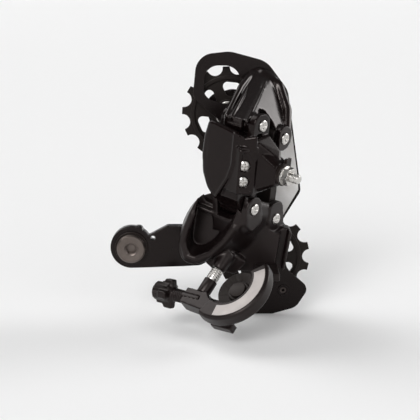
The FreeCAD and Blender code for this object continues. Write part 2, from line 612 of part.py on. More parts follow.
def sector(radius, low, high, start, end):
    """Wedge of a cylinder about local z between two angles in degrees."""
    wedge = Part.makeCylinder(radius, high - low, V(0, 0, low), V(0, 0, 1), end - start)
    wedge.rotate(V(0, 0, 0), V(0, 0, 1), start)
    return wedge


def visor(base, low, high, inner_low):
    """Hood that runs from the flange out and down over both upper pins."""
    start = V(-VISOR_CHIN_X, LINK_LENGTH + VISOR_CHIN_Y, 0)
    end = V(INNER_X + EAR_R - VISOR_TUCK, LINK_LENGTH + INNER_Y - VISOR_DROP, 0)
    span = (end - start).Length
    run = LINK_FRAME.Rotation.multVec(end - start).normalize()
    mouth = frame(LINK_FRAME.multVec(start), run, PIN_Z, run.cross(PIN_Z))
    back, front = low + VISOR_TUCK, high - VISOR_TUCK
    corners = [(VISOR_BAND, back, 0.5), (0, back + VISOR_BAND, 0.5), (0, front, 1),
               (span - VISOR_CHEEK, VISOR_LIP, 1), (span, -VISOR_CHEEK, 1), (span, inner_low + VISOR_TUCK, 1),
               (span / 2, back, 1)]
    root = FreeCAD.Placement(V(0, base - HOUSING_FLANGE + VISOR_TUCK, 0), SIDE_FRAME.Rotation)
    return Part.makeLoft([panel(root, VISOR_ROOT), panel(mouth, corners)], True, True)


def plate_body():
    base = CAGE_OUTER_Y - SIDE_GAP
    pivot = V(CAGE_PIVOT.x, 0, CAGE_PIVOT.z)
    flange = outboard(slab(HOOD_OUTLINE, -base, -base + HOUSING_FLANGE))
    top, inner_top = LINK_LENGTH, INNER_Y + LINK_LENGTH
    low, high = -OUTER_PIN_LENGTH + EAR_THICK + SIDE_GAP, -EAR_THICK - EAR_PAD - SIDE_GAP
    inner_low = -INNER_PIN_LENGTH
    knuckles = fused(disc(HOOD_KNUCKLE_R, low, high, 0, top), disc(EAR_R, inner_low, 0, INNER_X, inner_top))
    chin_top = top + VISOR_CHIN_Y
    chin = slab([(-VISOR_CHIN_X, chin_top), (VISOR_TUCK - VISOR_CHIN_X, chin_top - VISOR_CHIN, 0.6),
                 (0, top - HOOD_KNUCKLE_R + VISOR_TUCK), (HOOD_KNUCKLE_R - VISOR_TUCK, top),
                 (0, top + HOOD_KNUCKLE_R - VISOR_TUCK)], low + VISOR_TUCK, high - VISOR_CHEEK)
    solid = fused(flange, visor(base, low, high, inner_low), placed(fused(knuckles, chin), LINK_FRAME),
                  stop_tab(base))
    swing = sector(FAR, -FAR, FAR, *OUTER_SWEEP).cut(disc(VISOR_CLEAR_R, low, high))
    swing.translate(V(0, top, 0))
    inner_swing = sector(FAR, inner_low + EAR_THICK, -EAR_THICK, *INNER_SWEEP)
    inner_swing.translate(V(INNER_X, inner_top, 0))
    cuts = [
        # room for the outer link's ears and for its face as it swings
        disc(EAR_R + EAR_ROOM, high, FAR, 0, top),
        disc(BACK_EAR_R + EAR_ROOM + KNUCKLE_ROOM, low - EAR_THICK - PAST, low, 0, top),
        swing, slab(about(ARCH, 0, top), ARCH_FLOOR, FAR),
        # room for the inner link and its swing
        disc(KNUCKLE_R + KNUCKLE_ROOM, inner_low + EAR_THICK, -EAR_THICK, INNER_X, inner_top), inner_swing,
        disc(PIN_RECESS_R, 0, FAR, INNER_X, inner_top),
        disc(PIN_HEAD_R + HEAD_ROOM, -FAR, inner_low, INNER_X, inner_top),
        pin_holes(0, top), pin_holes(INNER_X, inner_top)]
    solid = solid.cut(placed(Part.makeCompound(cuts), LINK_FRAME))
    room = outboard(disc(SPRING_ROOM_R, -base - PAST, -base + SPRING_ROOM_DEPTH), pivot)
    bore = outboard(disc(AXLE_R + RUN_FIT, -base - PAST, -CAGE_OUTER_Y + AXLE_LENGTH + SIDE_GAP), pivot)
    below = block((0, 2 * FAR), (base, base + FAR), (0, 2 * FAR))
    return solid.cut(Part.makeCompound([room, bore])).cut(below)


def stop_tab(base):
    """Tongue on the plate body that the cage's stop pin rests against."""
    gap = math.degrees((2 * STOP_PIN_R + SIDE_GAP) / STOP_PIN_REACH)
    tongue = block((STOP_PIN_REACH - STOP_TAB, STOP_PIN_REACH + STOP_PIN_R), (-STOP_PIN_R, STOP_PIN_R),
                   (-base, -base + HOUSING_FLANGE))
    tongue.rotate(V(0, 0, 0), V(0, 0, 1), STOP_PIN_TURN - gap)
    return outboard(tongue, V(CAGE_PIVOT.x, 0, CAGE_PIVOT.z))


def cage_stop_pin():
    stop = disc(STOP_PIN_R, -CAGE_OUTER_Y, -CAGE_OUTER_Y + STOP_PIN_HEIGHT, STOP_PIN_REACH, 0)
    stop.rotate(V(0, 0, 0), V(0, 0, 1), STOP_PIN_TURN)
    return outboard(stop, V(CAGE_PIVOT.x, 0, CAGE_PIVOT.z))


def cage_axle():
    axle = disc(AXLE_R, -CAGE_OUTER_Y - CAGE_PLATE, -CAGE_OUTER_Y + AXLE_LENGTH)
    return outboard(axle, V(CAGE_PIVOT.x, 0, CAGE_PIVOT.z))


def cage_spring():
    pitch = (SPRING_ROOM_DEPTH - 2 * (SPRING_WIRE_R + SIDE_GAP)) / SPRING_TURNS
    spring = coil(SPRING_COIL_R, SPRING_WIRE_R, SPRING_TURNS, pitch)
    spring.translate(V(0, 0, -CAGE_OUTER_Y + 2 * SIDE_GAP + SPRING_WIRE_R))
    return outboard(spring, V(CAGE_PIVOT.x, 0, CAGE_PIVOT.z))


def rim_height(x):
    return RIM_HEIGHT + RIM_LEAN * (x - SCOOP_RIM[0][0])


def scoop():
    shell = ruled(smooth(SCOOP_FOOT, lambda x: HANGER_THICK), smooth(SCOOP_RIM, rim_height))
    # The walls slope in from the rim to the floor, and the upper end drops into a well behind the link
    hollow = ruled(smooth(SCOOP_FLOOR, lambda x: rim_height(x) - SCOOP_DEPTH),
                   smooth(SCOOP_BOWL, lambda x: rim_height(x) + RIM_LEAN))
    well_floor = rim_height(SCOOP_WELL[0][0]) - SCOOP_DEPTH - SCOOP_WELL_DEPTH
    well = slab(SCOOP_WELL, well_floor, rim_height(SCOOP_WELL[2][0]))
    return outboard(shell.cut(hollow).cut(well))


def bracket_body():
    channel = slab(BOX_CHANNEL, -BOX_FRONT_Y - BOX_CHANNEL_DEPTH, PAST - BOX_FRONT_Y)
    box = outboard(slab(BOX_OUTLINE, -BOX_BACK_Y, -BOX_FRONT_Y).cut(channel))
    keel = outboard(slab(KEEL_OUTLINE, HANGER_THICK + RIVET_GRIP, -KEEL_FRONT_Y))
    back = -OUTER_PIN_LENGTH
    mouth = -INNER_PIN_LENGTH
    ears = [
        # front ears, the outer one run into the scoop's wall
        disc(EAR_R, -EAR_THICK, 0), slab(EAR_ROOT, -2 * EAR_THICK, 0),
        disc(EAR_R, -EAR_THICK, 0, INNER_X, INNER_Y), slab(about(EAR_WING, INNER_X, INNER_Y), -EAR_THICK, 0),
        # back ears, which stand on the scoop and the box
        disc(EAR_R, back, back + EAR_THICK), slab(BACK_EAR_POST, back, back + EAR_THICK),
        disc(EAR_R, mouth, mouth + EAR_THICK, INNER_X, INNER_Y),
        slab(about(INNER_EAR_POST, INNER_X, INNER_Y), mouth, mouth + EAR_THICK)]
    boss = Part.makeCylinder(SCREW_BOSS_R, SCREW_BOSS_LENGTH, SCREW_TOP, screw_axis())
    solid = fused(scoop(), box, keel, boss, placed(fused(*ears), LINK_FRAME))
    inner_swing = sector(FAR, mouth + EAR_THICK, -EAR_THICK, *LOWER_INNER_SWEEP)
    inner_swing.translate(V(INNER_X, INNER_Y, 0))
    cuts = [
        disc(KNUCKLE_R + KNUCKLE_ROOM, back + EAR_THICK, -EAR_THICK),
        sector(FAR, back + EAR_THICK, -EAR_THICK, *LOWER_OUTER_SWEEP),
        disc(KNUCKLE_R + KNUCKLE_ROOM, mouth + EAR_THICK, -EAR_THICK, INNER_X, INNER_Y), inner_swing,
        disc(EAR_R + HEAD_ROOM, 0, EAR_R), disc(EAR_R + HEAD_ROOM, 0, EAR_R, INNER_X, INNER_Y),
        disc(PIN_HEAD_R + HEAD_ROOM, back - EAR_R, back),
        disc(PIN_HEAD_R + HEAD_ROOM, mouth - EAR_R, mouth, INNER_X, INNER_Y),
        pin_holes(0, 0), pin_holes(INNER_X, INNER_Y)]
    solid = solid.cut(placed(Part.makeCompound(cuts), LINK_FRAME))
    screw_way = fused(Part.makeCylinder(SCREW_R, SCREW_GRIP, SCREW_TOP, screw_axis()),
                      Part.makeCylinder(SCREW_COLLAR_R, SCREW_BOSS_LENGTH, SCREW_TOP, -screw_axis()))
    seat = [disc(RIVET_R, 0, HANGER_THICK + RIVET_GRIP, x, z) for x, z in RIVET_PLACES]
    seat.append(slab(HANGER_OUTLINE, -PAST, HANGER_THICK))
    return solid.cut(screw_way).cut(outboard(fused(*seat)))


def screw_axis():
    """From the cable arm up to the bracket body."""
    return (SCREW_TOP - SCREW_FOOT).normalize()


def spacer_sleeve():
    axis = screw_axis()
    sleeve = Part.makeCylinder(SLEEVE_R, SLEEVE_LENGTH, SCREW_FOOT, axis)
    return sleeve.cut(Part.makeCylinder(SCREW_R, FAR, SCREW_FOOT - axis * PAST, axis))


def housing_screw():
    axis = screw_axis()
    shank = Part.makeCylinder(SCREW_R, SCREW_TOP.distanceToPoint(SCREW_FOOT) + SCREW_GRIP, SCREW_FOOT, axis)
    collar = Part.makeCylinder(SCREW_COLLAR_R, SCREW_TOP.distanceToPoint(SCREW_FOOT) - SLEEVE_LENGTH,
                               SCREW_FOOT + axis * SLEEVE_LENGTH, axis)
    return fused(shank, collar)


def shroud_frame():
    """Local z is the wheel's axis, local x the way the cable comes in."""
    z = V(WHEEL_AXIS).normalize()
    x = (CABLE_RUN - z * CABLE_RUN.dot(z)).normalize()
    return frame(SHROUD_CENTRE, x, z.cross(x), z)


def wheel_frame():
    return shroud_frame().multiply(FreeCAD.Placement(WHEEL_OFFSET, FreeCAD.Rotation()))


def cable_line():
    """Height of the cable's line in the shroud's frame: tangent to the floor of the wheel's groove."""
    return WHEEL_OFFSET.y - WHEEL_R + WHEEL_GROOVE


def direction_pulley():
    half = WHEEL_WIDTH / 2
    rim = turned([(WHEEL_BORE_R + RUN_FIT, -half), (WHEEL_R, -half), (WHEEL_R, -WHEEL_LAND),
                  (WHEEL_R - WHEEL_GROOVE, 0), (WHEEL_R, WHEEL_LAND), (WHEEL_R, half),
                  (WHEEL_HUB_R + SIDE_GAP, half - WHEEL_DISH), (WHEEL_HUB_R, half),
                  (WHEEL_BORE_R + RUN_FIT, half)])
    return placed(rim, wheel_frame())


def direction_axle():
    half = WHEEL_WIDTH / 2
    axle = disc(WHEEL_BORE_R, -half - SIDE_GAP - SHROUD_FLOOR, half + SIDE_GAP)
    head = disc(AXLE_HEAD_R, half + SIDE_GAP, half + SIDE_GAP + AXLE_HEAD)
    return placed(fused(axle, head), wheel_frame())


def direction_housing():
    half = WHEEL_WIDTH / 2
    floor_top = -half - SIDE_GAP
    base = floor_top - SHROUD_FLOOR
    rim_top = half + SHROUD_RIM
    rim = turned([(SHROUD_INNER_R, base), (SHROUD_R - SHROUD_HEEL, base), (SHROUD_R, base + SHROUD_HEEL),
                  (SHROUD_R, rim_top - SHROUD_EDGE), (SHROUD_R - SHROUD_EDGE, rim_top),
                  (SHROUD_INNER_R, rim_top)])
    rim = rim.cut(sector(FAR, -FAR, FAR, SHROUD_TO, SHROUD_FROM + 360))
    at = WHEEL_OFFSET
    floor = disc(WHEEL_R + SHROUD_ROOM, base, floor_top, at.x, at.y)
    wheel_room = disc(WHEEL_R + SHROUD_ROOM, floor_top, half + SIDE_GAP, at.x, at.y)
    cable_y = cable_line()
    arm = slab([(-ARM_REACH, cable_y - ARM_HALF), (ARM_ROOT, cable_y - ARM_HALF - SHROUD_HEEL),
                (ARM_ROOT, cable_y + ARM_HALF), (-ARM_REACH, cable_y + ARM_HALF)], base, half + SHROUD_ROOM)
    arm = arm.cut(disc(SHROUD_INNER_R, floor_top, FAR))
    foot = block(FOOT_X, (-SHROUD_R + FOOT_INSET, -SHROUD_R + FOOT_DEPTH), (base - FOOT_DROP, base + PAST))
    tab = block(TAB_X, TAB_Y, TAB_Z)
    body = fused(placed(fused(rim, floor, arm, foot), shroud_frame()), tab)
    mouth = V(-ARM_REACH - PAST, cable_y, 0)
    bore = Part.makeCylinder(BARREL_THREAD_R + RUN_FIT, BARREL_GRIP + 2 * PAST, mouth, V(1, 0, 0))
    way = Part.makeCylinder(BARREL_BORE_R, ARM_REACH + WHEEL_R, mouth, V(1, 0, 0))
    pivot = disc(WHEEL_BORE_R, -FAR, FAR, at.x, at.y)
    body = body.cut(placed(Part.makeCompound([wheel_room, bore, way, pivot]), shroud_frame()))
    return body.cut(Part.makeCylinder(SLEEVE_R, SLEEVE_LENGTH, SCREW_FOOT, screw_axis()))


def barrel_adjuster():
    thread = disc(BARREL_THREAD_R, -BARREL_SHOULDER, BARREL_NECK + BARREL_GRIP)
    end, skirt = -BARREL_HEAD_LENGTH, BARREL_HEAD_R - BARREL_SKIRT
    head = turned([(0, end), (skirt - BARREL_EDGE, end), (skirt, end + BARREL_EDGE),
                   (skirt, -BARREL_SHOULDER), (BARREL_THREAD_R, 0), (0, 0)])
    lobes = []
    for i in range(BARREL_LOBES):
        lobe = block((BARREL_THREAD_R, BARREL_HEAD_R), (-BARREL_LOBE / 2, BARREL_LOBE / 2),
                     (end + 2 * BARREL_EDGE, -BARREL_SHOULDER - BARREL_EDGE))
        lobe.rotate(V(0, 0, 0), V(0, 0, 1), 360 / BARREL_LOBES * i)
        lobes.append(lobe)
    body = fused(thread, head, *lobes)
    ferrule = disc(FERRULE_R, end - PAST, end + FERRULE_DEPTH)
    body = body.cut(Part.makeCompound([disc(BARREL_BORE_R, -FAR, FAR), ferrule]))
    stand = frame(V(-ARM_REACH - BARREL_NECK, cable_line(), 0), V(0, 1, 0), V(0, 0, 1), V(1, 0, 0))
    return placed(placed(body, stand), shroud_frame())


def toothed_wheel(phase, low, high):
    """Disc with flat-topped teeth and round gaps for the chain's rollers."""
    tip_r = CHAIN_PITCH / (2 * math.sin(math.pi / PULLEY_TEETH)) + PULLEY_ADDENDUM
    pitch = 2 * math.pi / PULLEY_TEETH
    half = PULLEY_TIP / 2 / tip_r

    def spot(radius, turn):
        return V(radius * math.cos(turn), radius * math.sin(turn), low)

    edges = []
    for i in range(PULLEY_TEETH):
        turn = math.radians(phase) + pitch * i
        end, following = spot(tip_r, turn + half), spot(tip_r, turn + pitch - half)
        edges.append(Part.LineSegment(spot(tip_r, turn - half), end).toShape())
        edges.append(Part.Arc(end, spot(PULLEY_ROOT_R, turn + pitch / 2), following).toShape())
    return Part.Face(Part.Wire(edges)).extrude(V(0, 0, high - low))


def jockey_pulley(centre, phase):
    half = PULLEY_TOOTH_WIDTH / 2
    middle = CAGE_OUTER_Y + CAGE_PLATE + CAGE_GAP / 2
    wheel = toothed_wheel(phase, -half, half)
    side = PULLEY_WIDTH / 2
    rim_r = PULLEY_ROOT_R - PULLEY_RIM_DROP
    rim = disc(rim_r, -side, side).cut(disc(rim_r - PULLEY_RIM, -FAR, FAR))
    web = fused(wheel, rim, disc(PULLEY_HUB_R, -side, side))
    cuts = [disc(BUSH_R + RUN_FIT, -FAR, FAR)]
    for i in range(PULLEY_SPOKES):
        window = slab(PULLEY_WINDOW, -FAR, FAR)
        window.rotate(V(0, 0, 0), V(0, 0, 1), 360 / PULLEY_SPOKES * i + phase + PULLEY_WINDOW_TURN)
        cuts.append(window)
    return outboard(web.cut(Part.makeCompound(cuts)), V(centre.x, middle, centre.z))


def pulley_bush(centre):
    low = -CAGE_OUTER_Y - CAGE_PLATE - CAGE_GAP
    bush = disc(BUSH_R, low, low + CAGE_GAP).cut(disc(PULLEY_BOLT_R + RUN_FIT, -FAR, FAR))
    return outboard(bush, V(centre.x, 0, centre.z))


def dust_caps(centre):
    inner = -CAGE_OUTER_Y - CAGE_PLATE
    caps = []
    for low in (inner - CAP_THICK, inner - CAGE_GAP):
        caps.append(disc(CAP_R, low, low + CAP_THICK).cut(disc(BUSH_R + RUN_FIT, -FAR, FAR)))
    return outboard(Part.makeCompound(caps), V(centre.x, 0, centre.z))


def pulley_bolt(centre):
    outer = -CAGE_OUTER_Y - CAGE_PLATE
    back = outer - CAGE_GAP - CAGE_PLATE
    head_low = back - PULLEY_BOLT_HEAD
    head = disc(PULLEY_BOLT_HEAD_R, head_low, back)
    shank = disc(PULLEY_BOLT_R, back - PAST, -CAGE_OUTER_Y)
    socket = hexagon(PULLEY_BOLT_SOCKET, head_low - PAST, head_low + PULLEY_BOLT_SOCKET_DEPTH)
    return outboard(fused(head, shank).cut(socket), V(centre.x, 0, centre.z))


def cage_holes():
    return [disc(PULLEY_BOLT_R + RUN_FIT, -FAR, FAR, c.x, c.z) for c in (GUIDE_CENTRE, TENSION_CENTRE)]


def outer_cage_plate():
    plate = slab(CAGE_OUTLINE, -CAGE_OUTER_Y - CAGE_PLATE, -CAGE_OUTER_Y)
    loop = slab(CAGE_LOOP, -FAR, FAR)
    axle = disc(AXLE_R, -FAR, FAR, CAGE_PIVOT.x, CAGE_PIVOT.z)
    return outboard(plate.cut(Part.makeCompound([loop, axle] + cage_holes())))


def inner_cage_plate():
    """Waisted strip from one pulley to the other."""
    low = -CAGE_OUTER_Y - 2 * CAGE_PLATE - CAGE_GAP
    run = (TENSION_CENTRE - GUIDE_CENTRE).normalize()
    side = V(run.z, 0, -run.x)
    waist = (GUIDE_CENTRE + TENSION_CENTRE) * 0.5
    top, bottom = GUIDE_CENTRE - run * INNER_PLATE_END, TENSION_CENTRE + run * INNER_PLATE_END
    end, middle = side * INNER_PLATE_END, side * INNER_PLATE_WAIST
    spots = [(top + end, INNER_PLATE_CORNER), (top - end, INNER_PLATE_CORNER),
             (waist - middle, INNER_PLATE_CURVE), (bottom - end, INNER_PLATE_CORNER),
             (bottom + end, INNER_PLATE_CORNER), (waist + middle, INNER_PLATE_CURVE)]
    plate = slab([(spot.x, spot.z, radius) for spot, radius in spots], low, low + CAGE_PLATE)
    return outboard(plate.cut(Part.makeCompound(cage_holes())))


NODES = {
    "mounting_bolt": mounting_bolt,
    "retaining_ring": retaining_ring,
    "bolt_collar": bolt_collar,
    "hanger_plate": hanger_plate,
    "hanger_rivets": hanger_rivets,
    "bracket_body": bracket_body,
    "lower_outer_pin": lambda: pin(0, 0, OUTER_PIN_LENGTH),
    "lower_inner_pin": lambda: pin(INNER_X, INNER_Y, INNER_PIN_LENGTH),
    "upper_outer_pin": lambda: pin(0, LINK_LENGTH, OUTER_PIN_LENGTH),
    "upper_inner_pin": lambda: pin(INNER_X, INNER_Y + LINK_LENGTH, INNER_PIN_LENGTH),
    "outer_link": outer_link,
    "inner_link": inner_link,
    "link_spring": link_spring,
    "low_limit_screw": lambda: limit_screw(LIMIT_SCREW_Y[0]),
    "high_limit_screw": lambda: limit_screw(LIMIT_SCREW_Y[1]),
    "clamp_bolt": clamp_bolt,
    "clamp_plate": clamp_plate,
    "clamp_nut": clamp_nut,
    "plate_body": plate_body,
    "cage_axle": cage_axle,
    "cage_stop_pin": cage_stop_pin,
    "cage_spring": cage_spring,
    "outer_cage_plate": outer_cage_plate,
    "inner_cage_plate": inner_cage_plate,
    "guide_pulley": lambda: jockey_pulley(GUIDE_CENTRE, GUIDE_PHASE),
    "tension_pulley": lambda: jockey_pulley(TENSION_CENTRE, TENSION_PHASE),
    "guide_bush": lambda: pulley_bush(GUIDE_CENTRE),
    "tension_bush": lambda: pulley_bush(TENSION_CENTRE),
    "guide_dust_caps": lambda: dust_caps(GUIDE_CENTRE),
    "tension_dust_caps": lambda: dust_caps(TENSION_CENTRE),
    "guide_bolt": lambda: pulley_bolt(GUIDE_CENTRE),
    "tension_bolt": lambda: pulley_bolt(TENSION_CENTRE),
    "direction_pulley": direction_pulley,
    "housing_screw": housing_screw,
    "spacer_sleeve": spacer_sleeve,
    "direction_axle": direction_axle,
    "direction_housing": direction_housing,
    "barrel_adjuster": barrel_adjuster,
}

os.makedirs("parts", exist_ok=True)
for name, make in NODES.items():
    shape = make()
    print(name, len(shape.Solids), round(shape.Volume, 1), shape.isValid())
    shape.exportStep("parts/" + name + ".step")
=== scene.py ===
import json
import math

import bmesh
import bpy
from mathutils import Matrix, Vector

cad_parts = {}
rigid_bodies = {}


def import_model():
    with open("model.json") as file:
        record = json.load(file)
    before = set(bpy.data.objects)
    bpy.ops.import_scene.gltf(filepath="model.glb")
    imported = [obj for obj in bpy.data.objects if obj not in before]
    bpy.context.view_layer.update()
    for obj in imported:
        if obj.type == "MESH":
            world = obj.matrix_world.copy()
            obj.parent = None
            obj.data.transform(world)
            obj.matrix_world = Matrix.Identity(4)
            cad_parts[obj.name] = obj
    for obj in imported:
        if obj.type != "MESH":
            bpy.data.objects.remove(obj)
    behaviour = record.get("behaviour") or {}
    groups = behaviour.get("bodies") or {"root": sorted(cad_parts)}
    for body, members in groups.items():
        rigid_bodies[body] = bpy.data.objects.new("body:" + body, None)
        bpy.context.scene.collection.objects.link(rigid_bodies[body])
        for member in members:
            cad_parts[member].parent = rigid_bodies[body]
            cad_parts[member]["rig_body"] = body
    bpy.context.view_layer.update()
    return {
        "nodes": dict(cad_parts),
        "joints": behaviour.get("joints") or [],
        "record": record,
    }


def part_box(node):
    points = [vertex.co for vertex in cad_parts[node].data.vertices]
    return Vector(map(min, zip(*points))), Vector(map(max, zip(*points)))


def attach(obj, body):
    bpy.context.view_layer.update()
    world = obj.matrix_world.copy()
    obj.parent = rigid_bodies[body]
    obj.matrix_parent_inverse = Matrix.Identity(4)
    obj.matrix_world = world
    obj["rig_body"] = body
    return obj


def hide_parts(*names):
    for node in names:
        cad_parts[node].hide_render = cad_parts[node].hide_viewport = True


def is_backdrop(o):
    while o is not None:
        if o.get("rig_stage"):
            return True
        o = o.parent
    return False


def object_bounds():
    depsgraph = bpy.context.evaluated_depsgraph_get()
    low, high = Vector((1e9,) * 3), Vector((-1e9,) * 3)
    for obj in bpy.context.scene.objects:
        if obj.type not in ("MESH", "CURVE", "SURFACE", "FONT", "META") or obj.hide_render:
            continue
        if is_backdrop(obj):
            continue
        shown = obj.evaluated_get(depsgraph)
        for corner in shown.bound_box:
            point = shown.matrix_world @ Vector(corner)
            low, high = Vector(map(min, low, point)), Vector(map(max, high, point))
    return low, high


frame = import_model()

bl_info = {
    "name": "Rear Derailleur",
    "version": (1, 0, 0),
    "blender": (4, 5, 0),
    "location": "3D View > Sidebar > Derailleur",
    "description": "Dresses the packed rear derailleur with its finishes and small parts",
    "category": "Object",
}

MM = 0.001
CAD_SLOTS = {part["node"]: part["material_slot"] for part in frame["record"]["subparts"]}
JOINTS = {joint["name"]: joint for joint in frame["joints"]}


def linear(code):
    """Scene-linear RGBA of an sRGB hex value."""
    levels = [int(code[i:i + 2], 16) / 255 for i in (1, 3, 5)]
    return tuple(c / 12.92 if c <= 0.04045 else ((c + 0.055) / 1.055) ** 2.4 for c in levels) + (1.0,)


def anchor(joint):
    """Point on a joint's axis, in metres."""
    return Vector(JOINTS[joint]["pos_m"])


def heading(joint):
    """Direction of a joint's axis."""
    return Vector(JOINTS[joint]["axis"])


def axes(origin, along, across):
    """Place whose local z runs along one direction, and local x as near another as it can."""
    z = along.normalized()
    x = (across - z * across.dot(z)).normalized()
    place = Matrix((x, z.cross(x), z)).transposed().to_4x4()
    place.translation = origin
    return place


SIDEWAYS = Vector((1, 0, 0))
# Link frame: local z out along the pivot pins, local y up the link, from the end of the lower outer pin
LINK_RUN = anchor("carrier_swing") - anchor("link_swing")
LINK_OFFSET = anchor("inner_swing") - anchor("link_swing")
LINK_PLACE = axes(anchor("link_swing"), heading("link_swing"), LINK_RUN.cross(heading("link_swing")))
# Barrel frame: local z along the barrel, from its outer end
BARREL_PLACE = axes(anchor("barrel_turn"), heading("barrel_turn"), -heading("cable_wheel_spin"))
# Shroud frame: local z along the cable wheel's axle, local x along the barrel, with the wheel off its middle
WHEEL_SHIFT = Vector((7.0, -2.5, 0.0)) * MM
WHEEL_PLACE = axes(anchor("cable_wheel_spin"), heading("cable_wheel_spin"), heading("barrel_turn"))
SHROUD_PLACE = WHEEL_PLACE @ Matrix.Translation(-WHEEL_SHIFT)
SHROUD_FACE = 4.9 * MM
# Side frame: local x sideways, local y up, local z outboard, from the hanger
SIDE_PLACE = axes(anchor("bracket_pivot"), heading("bracket_pivot"), SIDEWAYS)
# The same frame on the cage plate's outer face
CAGE_PLACE = SIDE_PLACE @ Matrix.Translation((0, 0, -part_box("outer_cage_plate")[0].y))
# Ends of the screw from the cable housing to the bracket, in millimetres, repeated from the part's source
SCREW_FOOT = Vector((41.7, -37.0, -18.5))
SCREW_TOP = Vector((50.0, -30.0, -7.0))
SCREW_RUN = SCREW_TOP - SCREW_FOOT


def colour_property(name, description, code):
    """Colour setting with an sRGB hex default."""
    return bpy.props.FloatVectorProperty(name=name, description=description, subtype="COLOR", size=4,
                                         min=0.0, max=1.0, default=linear(code))


def length_property(name, description, millimetres):
    """Length setting with a default in millimetres."""
    return bpy.props.FloatProperty(name=name, description=description, unit="LENGTH", min=0.0,
                                   default=millimetres * MM)


class DerailleurColours(bpy.types.PropertyGroup):
    """Colours of the finishes."""

    painted_steel: colour_property("Painted steel", "Black electro-paint on the stamped plates", "#0e0909")
    satin_nylon: colour_property("Satin nylon", "Grained bracket, housing, sleeve and barrel", "#120c0c")
    gloss_nylon: colour_property("Gloss nylon", "Polished outer link and plate body", "#0f0909")
    acetal: colour_property("Acetal", "Moulded acetal of the pulleys", "#15110f")
    phosphate: colour_property("Phosphate", "Black coat of the inner link and the dark washers", "#181311")
    black_oxide: colour_property("Black oxide", "Mounting bolt", "#6f6661")
    zinc: colour_property("Zinc", "Plated screws, pins and bolts", "#cfccc8")
    spring_wire: colour_property("Spring wire", "Oiled spring steel", "#8d8a86")
    strip: colour_property("Strip", "Bare printed strip on the cable shroud", "#b3adaa")
    # the foil colour is the pale strip painted paler still: painted light for the shade of the body that the
    # strip stands in
    foil: colour_property("Foil", "Bare strip along the cage plate", "#f1ece7")
    rubbed: colour_property("Rubbed edge", "Where handling has paled the black parts", "#6a615d")
    backdrop: colour_property("Backdrop", "Paper floor", "#f5f5f5")


class DerailleurSizes(bpy.types.PropertyGroup):
    """Sizes of the added detail."""

    edge_round: length_property("Edge rounding", "Broken edge of the stamped and turned pieces", 0.4)
    mould_grid: length_property("Mould grid", "Mesh size of the moulded bodies", 0.45)
    strip_thick: length_property("Strip thickness", "Height of the bare strips over their faces", 0.12)
    thread_depth: length_property("Thread depth", "Height of the screw threads", 0.32)
    pin_head: length_property("Pin head", "Radius of the riveted pin ends", 3.3)
    lens: bpy.props.FloatProperty(name="Lens", description="Camera lens on a 36 mm sensor, in millimetres",
                                  unit="CAMERA", default=81.6, min=10.0)


def add_node(tree, kind, settings=None, links=None):
    """Adds a shader node, sets its properties or inputs, and links its inputs to other sockets."""
    node = tree.nodes.new(kind)
    for key, value in (settings or {}).items():
        if isinstance(key, str) and hasattr(node, key):
            setattr(node, key, value)
        else:
            node.inputs[key].default_value = value
    for key, socket in (links or {}).items():
        tree.links.new(socket, node.inputs[key])
    return node


# Sockets of a Mix node that mixes colours
MIX_SHARE, MIX_A, MIX_B, MIX_RESULT = 0, 6, 7, 2
# Real sizes in the finishes, in millimetres
COLOUR_DRIFT = 9.0
EDGE_WIDTH = 0.5
SCUFF = 1.6
SMEAR = 2.5
PLATING_CLOUD = 3.0
TOOL_MARK_DEPTH = 0.03
PAPER_CLOUD = 40.0
# Darkest and palest of a drifting colour, as shares of it
COAT_DRIFT = (0.75, 1.3)
PLATE_DRIFT = (0.7, 1.1)
PAPER_DRIFT = (0.995, 1.0)
# Least and most roughness of an uneven gloss, against its middle
COAT_GLOSS = (-0.06, 0.08)
PLATE_GLOSS = (-0.08, 0.1)
# Strength of the grain and of the tool marks
GRAIN, TOOL_MARKS = 0.5, 0.35
# Wear starts and is full where the edge's turn, with the push of the scuffs, comes down to these
WEAR_STARTS, WEAR_FULL, SCUFF_PUSH = 1.02, 0.86, 0.12
# Dark pigments tint the gloss of their binder a little
WARM_GLOSS = linear("#fff3ef")


def blank_material(name):
    """Empty node material and its tree."""
    material = bpy.data.materials.new(name)
    material.use_nodes = True
    material.node_tree.nodes.clear()
    return material, material.node_tree


def shade(colour, factor):
    """The same colour, lighter or darker."""
    return tuple(min(1.0, c * factor) for c in colour[:3]) + (1.0,)


def texture_scale(millimetres):
    """Texture scale for marks of a real size."""
    return 1 / (millimetres * MM)


